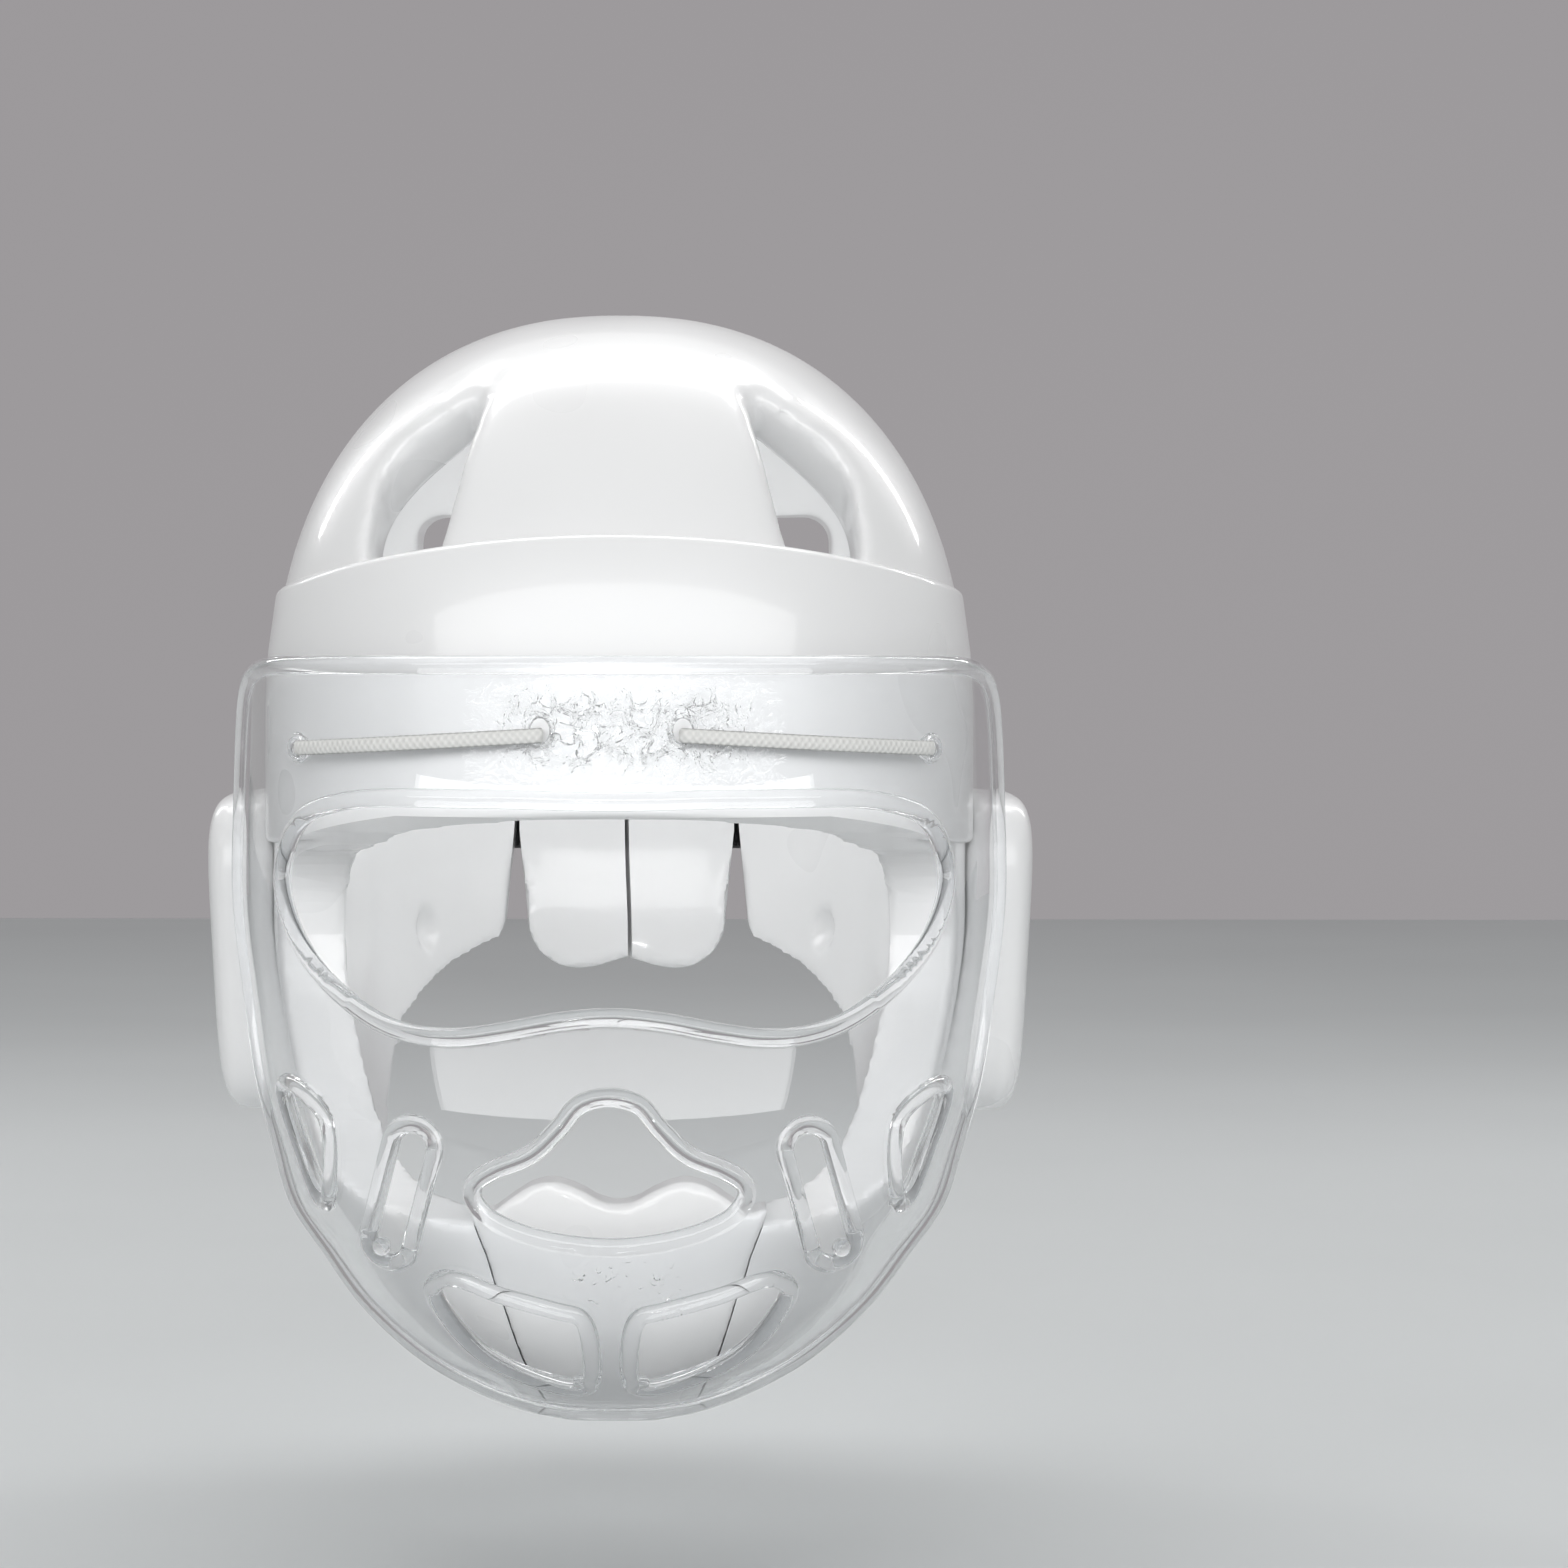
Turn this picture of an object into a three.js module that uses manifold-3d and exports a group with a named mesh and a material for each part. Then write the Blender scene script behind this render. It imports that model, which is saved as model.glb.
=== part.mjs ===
// Full-face karate head guard: a dipped-foam helmet with ear pads, a chin pad and a clear face shield.
// Millimetres, +Z up, the face looks along -Y.
// The origin is the inner top of the crown, where a head carries it.
import * as THREE from 'three';
import { mergeVertices } from 'three/addons/utils/BufferGeometryUtils.js';
import Module from 'manifold-3d';

const wasm = await Module();
wasm.setup();

// Foam shell
const foamWall = 16;
const headHalfWidth = 92;
const headFront = 110;
const headBack = 115;
const domeHeight = 106;
const domeSquareness = 2.25;
const crownFlat = 0.3;
const crownRing = 0.25;
const jawDrop = 172;
const clearance = 0.3;

// Brow band
const browProud = 5;
const browSideProud = 1.5;
const browTopDrop = 61;
const browTopSag = 12.5;
const browHeight = 69;
const browEndSag = 10;
const browReach = 105;
const browEdge = 2.5;

// Openings of the shell
const faceRim = 50;
const faceCorner = 14;
const crownVentTilt = 45;
const rearVentWidth = 36;
const rearVentHeight = 43;
const rearVentInset = 22;
const rearVentTop = 51;
const lobeHalfWidth = 31;
const lobeDrop = 75;
const lobeCorner = 13;
const lobeNotch = 4;
const lobeSlit = 1.2;
const lobeTaper = 2.5;
const slitTop = 15;
const slitShoulder = 20;
const slitSplay = 0.6;
const slitStep = 1.5;
const slitMouth = 6.5;
const earDentHeight = 14;
const earDentWidth = 7;
const earDentDepth = 4;
const earDentDrop = 56;
const earDentAngle = 131;

// Face shield
const shieldThickness = 2;
const shieldGap = 0.6;
const shieldRise = 13;
const shieldSide = 9.4;
const shieldCentre = 20;
const shieldSquareness = 2.6;
const beadRadius = 2.1;
const beadSink = 0.2;
const laceHole = 5.5;
const eyeHalfWidth = 83;
const eyeHeight = 56;
const eyeTop = 33;
const mouthHalfWidth = 32.6;
const mouthHeight = 35.6;
const mouthTop = 102.5;
const slotWidth = 11.2;
const slotLength = 36;
const slotLean = 15;
const slotAcross = 50.4;
const slotDown = 127.3;
const sideVentWidth = 14;
const sideVentHeight = 29;
const sideVentAcross = 68.5;
const sideVentDown = 104;
const bottomVentWidth = 37.7;
const bottomVentHeight = 28.2;
const bottomVentAcross = 5.3;
const bottomVentDown = 147;

// Pads, laces and strap
const chinPadHalfWidth = 36;
const chinPadTop = 110;
const chinHump = 5;
const chinPadShift = 2;
const earPadProud = 19;
const earPadLength = 79;
const earPadHeight = 85;
const earPadGap = 1.2;
const earPadRise = 3;
const earPadLean = 5;
const earPadSquareness = 4.5;
const laceWidth = 3.4;
const laceThickness = 1.6;
const laceInner = 17.3;
const laceOuter = 78.8;
const laceInnerDrop = 17;
const laceOuterDrop = 20.7;
const strapWidth = 40;
const strapThickness = 3;
const strapDrop = 1;
const strapHalfAngle = 42;

// Levels that follow from them
const widestZ = foamWall - domeHeight;
const shieldTopZ = widestZ + shieldRise;
const shieldHeight = shieldRise + jawDrop;
const shieldHalfWidth = headHalfWidth + shieldSide;
const shieldFront = headFront + browProud + shieldGap + shieldThickness;
const faceTopZ = foamWall - browTopDrop - browHeight;

// Sections of the shell under its widest level: drop is a share of jawDrop, the others of the head sizes.
const jawSections = [
  { drop: 0.0, width: 1.0, front: 1.0, back: 1.0, square: 2.35 },
  { drop: 0.23, width: 1.0, front: 1.02, back: 1.0, square: 2.35 },
  { drop: 0.35, width: 0.995, front: 1.08, back: 0.96, square: 2.4 },
  { drop: 0.52, width: 0.935, front: 1.17, back: 0.94, square: 2.6 },
  { drop: 0.67, width: 0.85, front: 1.22, back: 0.92, square: 2.9 },
  { drop: 0.76, width: 0.765, front: 1.19, back: 0.91, square: 2.75 },
  { drop: 0.855, width: 0.675, front: 1.11, back: 0.9, square: 2.6 },
  { drop: 0.93, width: 0.565, front: 0.99, back: 0.85, square: 2.4 },
  { drop: 1.0, width: 0.38, front: 0.84, back: 0.8, square: 2.3 },
];

// Outer sections of the shield: drop is a share of shieldHeight, width of its half width, front of its depth.
const shieldSections = [
  { drop: 0.0, width: 0.991, front: 0.997 },
  { drop: 0.1, width: 0.996, front: 1.0 },
  { drop: 0.19, width: 1.0, front: 1.016 },
  { drop: 0.33, width: 0.999, front: 1.08 },
  { drop: 0.475, width: 0.965, front: 1.144 },
  { drop: 0.585, width: 0.932, front: 1.19 },
  { drop: 0.675, width: 0.886, front: 1.199 },
  { drop: 0.745, width: 0.848, front: 1.182 },
  { drop: 0.805, width: 0.774, front: 1.144 },
  { drop: 0.865, width: 0.7, front: 1.097 },
  { drop: 0.925, width: 0.596, front: 1.02 },
  { drop: 0.962, width: 0.503, front: 0.944 },
  { drop: 1.0, width: 0.395, front: 0.833 },
];

// Half outlines, centre line to centre line: across and down are shares of each opening's own width and height.
const eyeOutline = [
  { across: 0.0, down: 0.0 },
  { across: 0.4, down: -0.01 },
  { across: 0.8, down: 0.01 },
  { across: 0.94, down: 0.1 },
  { across: 1.0, down: 0.34 },
  { across: 0.958, down: 0.58 },
  { across: 0.85, down: 0.78 },
  { across: 0.69, down: 0.94 },
  { across: 0.565, down: 0.995 },
  { across: 0.435, down: 1.0 },
  { across: 0.3, down: 0.97 },
  { across: 0.155, down: 0.93 },
  { across: 0.0, down: 0.91 },
];
const mouthOutline = [
  { across: 0.0, down: 0.0 },
  { across: 0.22, down: 0.05 },
  { across: 0.37, down: 0.205 },
  { across: 0.57, down: 0.375 },
  { across: 0.845, down: 0.486 },
  { across: 0.98, down: 0.575 },
  { across: 1.0, down: 0.66 },
  { across: 0.905, down: 0.79 },
  { across: 0.69, down: 0.893 },
  { across: 0.385, down: 0.966 },
  { across: 0.0, down: 1.0 },
];
const sideVentOutline = [
  { across: 0.98, down: 0.02 },
  { across: 0.99, down: 0.12 },
  { across: 0.66, down: 0.55 },
  { across: 0.25, down: 0.97 },
  { across: 0.13, down: 0.98 },
  { across: 0.0, down: 0.43 },
  { across: 0.16, down: 0.18 },
  { across: 0.8, down: 0.0 },
];
const bottomVentOutline = [
  { across: 1.0, down: 0.12 },
  { across: 0.93, down: 0.01 },
  { across: 0.82, down: 0.0 },
  { across: 0.55, down: 0.12 },
  { across: 0.18, down: 0.25 },
  { across: 0.05, down: 0.3 },
  { across: 0.0, down: 0.43 },
  { across: 0.0, down: 0.96 },
  { across: 0.09, down: 1.0 },
  { across: 0.39, down: 0.9 },
  { across: 0.7, down: 0.69 },
  { across: 0.91, down: 0.38 },
];
// Crown vent seen along its own axis: across is a share of headHalfWidth, along of domeHeight.
const crownVentOutline = [
  { across: 0.325, along: -0.39 },
  { across: 0.37, along: -0.405 },
  { across: 0.4, along: -0.5 },
  { across: 0.53, along: -0.57 },
  { across: 0.625, along: -0.625 },
  { across: 0.65, along: -0.73 },
  { across: 0.66, along: -1.1 },
  { across: 0.44, along: -1.1 },
  { across: 0.345, along: -0.52 },
];
// Side trims: back is a share of the front sizes, drop a share of each piece's height.
const neckTrim = [
  { back: 1.2, drop: 0.36 },
  { back: 0.82, drop: 0.366 },
  { back: 0.5, drop: 0.512 },
  { back: 0.27, drop: 0.6 },
  { back: 0.0, drop: 0.657 },
  { back: -0.45, drop: 0.826 },
  { back: -0.68, drop: 0.965 },
  { back: -0.86, drop: 1.006 },
  { back: -0.86, drop: 1.2 },
  { back: 1.2, drop: 1.2 },
];
const jawTopTrim = [
  { back: -0.5, drop: 0.436 },
  { back: -0.64, drop: 0.57 },
  { back: -0.77, drop: 0.634 },
  { back: -1.0, drop: 0.686 },
  { back: -1.5, drop: 0.715 },
];
const shieldTrim = [
  { back: -0.45, drop: -0.1 },
  { back: -0.585, drop: 0.0 },
  { back: -0.46, drop: 0.012 },
  { back: -0.31, drop: 0.038 },
  { back: -0.245, drop: 0.09 },
  { back: -0.238, drop: 0.17 },
  { back: -0.238, drop: 0.33 },
  { back: -0.24, drop: 0.48 },
  { back: -0.3, drop: 0.61 },
  { back: -0.465, drop: 0.773 },
  { back: -0.68, drop: 0.908 },
  { back: -0.85, drop: 0.99 },
  { back: -0.85, drop: 1.2 },
];
// Top of the chin pad: across is a share of its half width, down of the hump's height.
const chinPadHumps = [
  { across: 0.0, down: 1.1 },
  { across: 0.1, down: 1.0 },
  { across: 0.26, down: 0.4 },
  { across: 0.42, down: 0.05 },
  { across: 0.56, down: 0.2 },
  { across: 0.7, down: 0.8 },
  { across: 0.86, down: 1.7 },
];
// Sides of the chin pad: down is a share of the way from its top to the bottom of the jaw.
const chinPadSides = [
  { across: 1.0, down: 0.1 },
  { across: 0.87, down: 0.3 },
  { across: 0.66, down: 0.75 },
  { across: 0.42, down: 1.1 },
];

// Number of facets of each form
const ringFacets = 36;
const domeLevels = 7;
const shieldFacets = 20;
const eyeFacets = 34;
const mouthFacets = 32;
const slotFacets = 14;
const sideVentFacets = 14;
const bottomVentFacets = 20;
const trimFacets = 20;
const beadSides = 4;
const padFacets = 24;
const laceFacets = 22;
const laceSides = 6;
const strapFacets = 16;

const rad = THREE.MathUtils.degToRad;

// Reads one column of a section table at a drop, with a smooth curve through the rows.
function share(table, column, drop) {
  const last = table.length - 1;
  const d = Math.min(Math.max(drop, table[0].drop), table[last].drop);
  let row = 0;
  while (row < last - 1 && table[row + 1].drop < d) row += 1;
  const value = (i) => table[Math.min(Math.max(i, 0), last)][column];
  const place = (i) => table[Math.min(Math.max(i, 0), last)].drop;
  const span = place(row + 1) - place(row);
  const slope = (i) => (value(i + 1) - value(i - 1)) / Math.max(place(i + 1) - place(i - 1), 0.001);
  const t = (d - place(row)) / span;
  const h = t * t * (3 - 2 * t);
  const rise = t * (1 - t) * (1 - t) * slope(row) - t * t * (1 - t) * slope(row + 1);
  return value(row) * (1 - h) + value(row + 1) * h + rise * span;
}

// Half sizes of the foam surface at a height, grown outward by a distance.
function foamSizes(z, grow) {
  if (z >= widestZ) {
    const t = Math.min((z - widestZ) / (domeHeight + grow), 1);
    const s = Math.pow(1 - Math.pow(t, domeSquareness), 1 / domeSquareness);
    return {
      width: (headHalfWidth + grow) * s,
      front: (headFront + grow) * s,
      back: (headBack + grow) * s,
      square: jawSections[0].square,
    };
  }
  const drop = (widestZ - z) / jawDrop;
  return {
    width: headHalfWidth * share(jawSections, 'width', drop) + grow,
    front: headFront * share(jawSections, 'front', drop) + grow,
    back: headBack * share(jawSections, 'back', drop) + grow,
    square: share(jawSections, 'square', drop),
  };
}

// Point of a squared ellipse: angle 0 looks along -Y, 90 along +X.
function ovalPoint(sizes, angle, z) {
  const sin = Math.sin(angle);
  const cos = Math.cos(angle);
  const depth = cos > 0 ? sizes.front : sizes.back;
  const power = 2 / sizes.square;
  const x = sizes.width * Math.sign(sin) * Math.pow(Math.abs(sin), power);
  const y = -depth * Math.sign(cos) * Math.pow(Math.abs(cos), power);
  return new THREE.Vector3(x, y, z);
}

function foamPoint(angle, z, grow) {
  return ovalPoint(foamSizes(z, grow), angle, z);
}

// Outer surface of the shield at a height, moved inward by a distance.
function shieldSizes(z, inward) {
  const at = (column, height) => share(shieldSections, column, (shieldTopZ - height) / shieldHeight);
  const width = (height) => shieldHalfWidth * at('width', height);
  const front = (height) => shieldFront * at('front', height);
  const slant = (size) => Math.hypot(1, (size(z + 1) - size(z - 1)) / 2);
  return {
    width: width(z) - inward * slant(width),
    front: front(z) + shieldCentre - inward * slant(front),
    back: 1,
    square: shieldSquareness,
  };
}

function shieldPoint(x, z, inward) {
  const sizes = shieldSizes(z, inward);
  const t = Math.min(Math.abs(x) / sizes.width, 0.9999);
  const y = Math.pow(1 - Math.pow(t, sizes.square), 1 / sizes.square);
  return new THREE.Vector3(x, shieldCentre - sizes.front * y, z);
}

// Closed geometry from rings of equal length; the first and last rings are closed by a fan.
function loft(rings) {
  const count = rings[0].length;
  const positions = rings.flat().flatMap((p) => [p.x, p.y, p.z]);
  const index = [];
  for (let r = 0; r < rings.length - 1; r += 1) {
    for (let i = 0; i < count; i += 1) {
      const a = r * count + i;
      const b = r * count + ((i + 1) % count);
      index.push(a, b, a + count, b, b + count, a + count);
    }
  }
  for (const r of [0, rings.length - 1]) {
    const middle = new THREE.Vector3();
    rings[r].forEach((p) => middle.addScaledVector(p, 1 / count));
    positions.push(middle.x, middle.y, middle.z);
    const m = positions.length / 3 - 1;
    for (let i = 0; i < count; i += 1) {
      const a = r * count + i;
      const b = r * count + ((i + 1) % count);
      index.push(...(r === 0 ? [m, b, a] : [m, a, b]));
    }
  }
  return closedGeometry(positions, index);
}

// Closed tube of rings whose last ring meets the first.
function closedLoft(rings) {
  const count = rings[0].length;
  const positions = rings.flat().flatMap((p) => [p.x, p.y, p.z]);
  const index = [];
  for (let r = 0; r < rings.length; r += 1) {
    const next = ((r + 1) % rings.length) * count;
    for (let i = 0; i < count; i += 1) {
      const j = (i + 1) % count;
      index.push(r * count + i, r * count + j, next + i, r * count + j, next + j, next + i);
    }
  }
  return closedGeometry(positions, index);
}

function closedGeometry(positions, index) {
  const geometry = new THREE.BufferGeometry();
  geometry.setAttribute('position', new THREE.Float32BufferAttribute(positions, 3));
  geometry.setIndex(index);
  return geometry;
}

// Turns a closed geometry into a solid, with its faces pointing out.
function solid(geometry) {
  const bare = geometry.clone();
  bare.deleteAttribute('normal');
  bare.deleteAttribute('uv');
  const merged = mergeVertices(bare, 1e-4);
  const vertProperties = new Float32Array(merged.attributes.position.array);
  const triVerts = new Uint32Array(merged.index.array);
  if (signedVolume(vertProperties, triVerts) < 0) {
    for (let i = 0; i < triVerts.length; i += 3) {
      [triVerts[i + 1], triVerts[i + 2]] = [triVerts[i + 2], triVerts[i + 1]];
    }
  }
  return new wasm.Manifold(new wasm.Mesh({ numProp: 3, vertProperties, triVerts }));
}

function signedVolume(points, corners) {
  const a = new THREE.Vector3();
  const b = new THREE.Vector3();
  const c = new THREE.Vector3();
  let volume = 0;
  for (let i = 0; i < corners.length; i += 3) {
    a.fromArray(points, corners[i] * 3);
    b.fromArray(points, corners[i + 1] * 3);
    c.fromArray(points, corners[i + 2] * 3);
    volume += a.dot(b.cross(c)) / 6;
  }
  return volume;
}

// Prism of a flat outline: its own X and Y become the two given directions, its depth the third.
function prism(outline, right, up, from, to) {
  const shape = new THREE.Shape(outline.map(([u, v]) => new THREE.Vector2(u, v)));
  const geometry = new THREE.ExtrudeGeometry(shape, { depth: to - from, bevelEnabled: false });
  geometry.translate(0, 0, from);
  const depth = new THREE.Vector3().crossVectors(right, up);
  geometry.applyMatrix4(new THREE.Matrix4().makeBasis(right, up, depth));
  return solid(geometry);
}

const xAxis = new THREE.Vector3(1, 0, 0);
const yAxis = new THREE.Vector3(0, 1, 0);
const zAxis = new THREE.Vector3(0, 0, 1);

// Prism of a side view, [y, z], across the whole width.
function sidePrism(outline, from, to) {
  return prism(outline, yAxis, zAxis, from, to);
}

// Prism of a front view, [x, z]; near and far are the distances in front of the origin.
function frontPrism(outline, near, far) {
  return prism(outline, xAxis, zAxis, near, far);
}

// Smooth closed outline through a few points.
function smoothOutline(points, steps) {
  const curve = new THREE.CatmullRomCurve3(
    points.map(([u, v]) => new THREE.Vector3(u, v, 0)),
    true,
    'centripetal',
  );
  return curve.getSpacedPoints(steps).slice(0, steps).map((p) => [p.x, p.y]);
}

function mirrorOutline(points) {
  return points.map(([u, v]) => [-u, v]).reverse();
}

// Whole outline from a right half whose first and last points lie on the centre line.
function bothHalves(points) {
  const inner = points.slice(1, -1);
  return [...points, ...mirrorOutline(inner)];
}

// The foam form as one closed solid, grown or shrunk.
function foamForm(grow) {
  const angles = Array.from({ length: ringFacets }, (_, i) => (i / ringFacets) * Math.PI * 2);
  const rings = [];
  for (const row of [...jawSections].reverse()) {
    const z = widestZ - row.drop * jawDrop;
    rings.push(angles.map((angle) => foamPoint(angle, z, grow)));
  }
  for (let level = 1; level < domeLevels; level += 1) {
    const rise = Math.pow(Math.sin((level / domeLevels) * Math.PI * 0.5), 2 / domeSquareness);
    const z = widestZ + (domeHeight + grow) * rise;
    rings.push(angles.map((angle) => foamPoint(angle, z, grow)));
  }
  const top = foamWall + grow - crownFlat;
  const crown = rings[rings.length - 1];
  rings.push(crown.map((p) => new THREE.Vector3(p.x * crownRing, p.y * crownRing, top)));
  return solid(loft(rings));
}

// Raised band round the brow, its upper edge a ledge, fading out behind the temples.
function browBand(extra) {
  const rings = [];
  const reach = rad(browReach) + extra / headHalfWidth;
  for (let i = 0; i <= ringFacets; i += 1) {
    const angle = -reach + (2 * reach * i) / ringFacets;
    const side = Math.min(Math.abs(foamPoint(angle, widestZ, 0).x) / headHalfWidth, 1);
    const front = Math.pow(Math.cos(Math.min(Math.abs(angle), Math.PI / 2)), 1.2);
    const proud = browSideProud + (browProud - browSideProud) * front + extra;
    const top = foamWall - browTopDrop - browTopSag * side * side + extra;
    const low = faceTopZ - browEndSag * side * side - extra;
    const rows = [
      [low, -foamWall / 4],
      [low, proud - browEdge / 2],
      [low + browEdge / 2, proud],
      [(low + top) / 2, proud],
      [top - browEdge, proud],
      [top, proud - browEdge],
      [top, -foamWall / 4],
    ];
    rings.push(rows.map(([z, grow]) => foamPoint(angle, z, grow)));
  }
  return solid(loft(rings));
}

function trimPoints(table, depth, top, height) {
  return table.map((row) => [row.back * depth, top - row.drop * height]);
}

// Front of the shell between the brow and the jaw, open for the face.
function faceOpening() {
  const away = -2 * headFront;
  const brow = faceTopZ;
  const jaw = trimPoints(jawTopTrim, headFront, widestZ, jawDrop);
  return sidePrism(
    [
      [away, brow],
      [-faceRim - faceCorner * 2, brow - browEndSag / 2],
      [-faceRim - faceCorner / 2, brow - browEndSag],
      [-faceRim, brow - browEndSag - faceCorner],
      ...jaw,
      [away, widestZ - jawDrop * 0.715],
    ],
    -2 * headHalfWidth,
    2 * headHalfWidth,
  );
}

// Vent beside the crown band: cut along a tilted axis, down to the brow ledge.
function crownVent(side) {
  const tilt = rad(crownVentTilt);
  const up = new THREE.Vector3(0, Math.sin(tilt), Math.cos(tilt));
  let outline = crownVentOutline.map((row) => [row.across * headHalfWidth, row.along * domeHeight]);
  if (side < 0) outline = mirrorOutline(outline);
  const vent = prism(outline, xAxis, up, -domeHeight * 0.3, 2 * domeHeight);
  const ledge = [];
  for (let i = 0; i <= 6; i += 1) {
    const x = (headHalfWidth * i) / 6;
    const sag = browTopSag * (x / headHalfWidth) ** 2;
    ledge.push([side * x, foamWall - browTopDrop - sag + clearance]);
  }
  ledge.push([side * headHalfWidth, 2 * foamWall], [0, 2 * foamWall]);
  return vent.intersect(frontPrism(ledge, 0, 2 * headFront));
}

// Slits that part the two neck lobes from the side panels and from each other.
function lobeCuts() {
  const bottom = widestZ - lobeDrop;
  const slitZ = widestZ - slitTop;
  const corner = [];
  for (const step of [0, 30, 60, 90]) {
    const a = rad(step);
    const x = lobeHalfWidth - lobeTaper - lobeCorner + lobeCorner * Math.cos(a);
    corner.push([x, bottom + lobeCorner - lobeCorner * Math.sin(a)]);
  }
  const half = [
    [lobeHalfWidth + slitSplay, slitZ],
    [lobeHalfWidth + slitStep, slitZ - slitShoulder],
    [lobeHalfWidth - lobeTaper + slitMouth, bottom + lobeCorner],
    [lobeHalfWidth + slitMouth, widestZ - jawDrop],
  ];
  const lobe = [
    [lobeHalfWidth, slitZ],
    [lobeHalfWidth, slitZ - slitShoulder],
    ...corner,
    [lobeCorner / 2, bottom],
    [lobeSlit / 2 + slitStep, bottom + slitStep],
    [lobeSlit / 2, bottom + lobeNotch],
    [lobeSlit / 2, slitZ],
  ];
  const right = [...half.reverse(), ...lobe];
  return frontPrism([...right, ...mirrorOutline(right)], -2 * headBack, -headBack / 2);
}

function neckCut() {
  const whole = sidePrism(
    trimPoints(neckTrim, headFront, widestZ, jawDrop),
    -2 * headHalfWidth,
    2 * headHalfWidth,
  );
  const keep = lobeHalfWidth + slitStep;
  const deep = 2 * jawDrop;
  const block = [[-keep, 0], [keep, 0], [keep, -deep], [-keep, -deep]];
  const lobeKeep = frontPrism(block, -2 * headBack, -headBack / 2);
  return whole.subtract(lobeKeep);
}

function rearVent(side) {
  const x = side > 0 ? rearVentInset : -rearVentInset - rearVentWidth;
  const z = foamWall - rearVentTop;
  const corner = rearVentWidth / 5;
  const outline = [];
  for (const [cx, cz, start] of [
    [x + rearVentWidth - corner, z - corner, 0],
    [x + corner, z - corner, 90],
    [x + corner, z - rearVentHeight + corner, 180],
    [x + rearVentWidth - corner, z - rearVentHeight + corner, 270],
  ]) {
    for (const step of [0, 45, 90]) {
      const a = rad(start + step);
      outline.push([cx + corner * Math.cos(a), cz + corner * Math.sin(a)]);
    }
  }
  return frontPrism(outline, -2 * headBack, -headBack / 3);
}

// Shallow oval dent in the inner face of a side panel, over the ear.
function earDent(side) {
  const ball = new THREE.SphereGeometry(1, 12, 8);
  ball.scale(earDentWidth, earDentWidth, earDentHeight / 2);
  const angle = side * rad(earDentAngle);
  const seat = foamPoint(angle, widestZ - earDentDrop, -foamWall - earDentWidth + earDentDepth);
  ball.translate(seat.x, seat.y, seat.z);
  return solid(ball);
}

// Outline of the chin pad in the front view, its top with two humps; grow widens it all round.
function chinOutline(grow) {
  const top = widestZ - chinPadTop;
  const rise = chinPadHumps.map((row) => [chinPadHalfWidth * row.across, top - chinHump * row.down + grow]);
  const sides = chinPadSides.map((row) => [
    chinPadHalfWidth * row.across + grow,
    top - row.down * (jawDrop - chinPadTop),
  ]);
  const half = [...rise, ...sides];
  const whole = [...half, ...mirrorOutline(half.slice(1))];
  return whole.map(([x, z]) => [x + chinPadShift, z]);
}

// The space that the pad takes in the shell, open upward into the face opening.
function chinSeat() {
  const sides = chinPadSides.map((row) => [
    chinPadHalfWidth * row.across + clearance,
    widestZ - chinPadTop - row.down * (jawDrop - chinPadTop),
  ]);
  const half = [[chinPadHalfWidth + clearance, widestZ - chinPadTop + 4 * chinHump], ...sides];
  const whole = [...half, ...mirrorOutline(half)].map(([x, z]) => [x + chinPadShift, z]);
  return frontPrism(whole, headFront / 3, 2 * headFront);
}

function foamWalls() {
  return foamForm(0).subtract(foamForm(-foamWall));
}

function headShell() {
  let shell = foamWalls().add(browBand(0).subtract(foamForm(-foamWall / 2)));
  for (const cut of [faceOpening(), neckCut(), lobeCuts(), chinSeat()]) shell = shell.subtract(cut);
  for (const side of [-1, 1]) {
    shell = shell.subtract(crownVent(side)).subtract(rearVent(side)).subtract(earDent(side));
  }
  return shell;
}

function chinPad() {
  const pad = foamWalls().intersect(frontPrism(chinOutline(0), headFront / 3, 2 * headFront));
  return pad.subtract(neckCut());
}

// Rounded pad over the ear, its inner face on the shell.
function earPad(side) {
  const top = faceTopZ + earPadRise;
  const rear = Math.max(...shieldTrim.map((row) => row.back)) * shieldFront;
  const front = rear + beadRadius + earPadGap;
  const rows = [
    { out: -0.7, size: 1.0 },
    { out: 0.62, size: 1.0 },
    { out: 0.9, size: 0.94 },
    { out: 1.0, size: 0.84 },
  ];
  const squared = (value) => Math.sign(value) * Math.pow(Math.abs(value), 2 / earPadSquareness);
  const rings = rows.map((row) =>
    Array.from({ length: padFacets }, (_, i) => {
      const a = ((i + 0.5) / padFacets) * Math.PI * 2;
      const u = squared(Math.cos(a));
      const v = squared(Math.sin(a));
      const z = top - earPadHeight / 2 + (v * row.size * earPadHeight) / 2;
      const lean = earPadLean * Math.max(0, (top - z) / earPadHeight) * Math.max(row.out, 0);
      const y = front + earPadLength / 2 + (u * row.size * earPadLength) / 2;
      return new THREE.Vector3(side * (headHalfWidth + earPadProud * row.out - lean), y, z);
    }),
  );
  return solid(loft(rings)).subtract(foamForm(clearance)).subtract(browBand(clearance));
}

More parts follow.
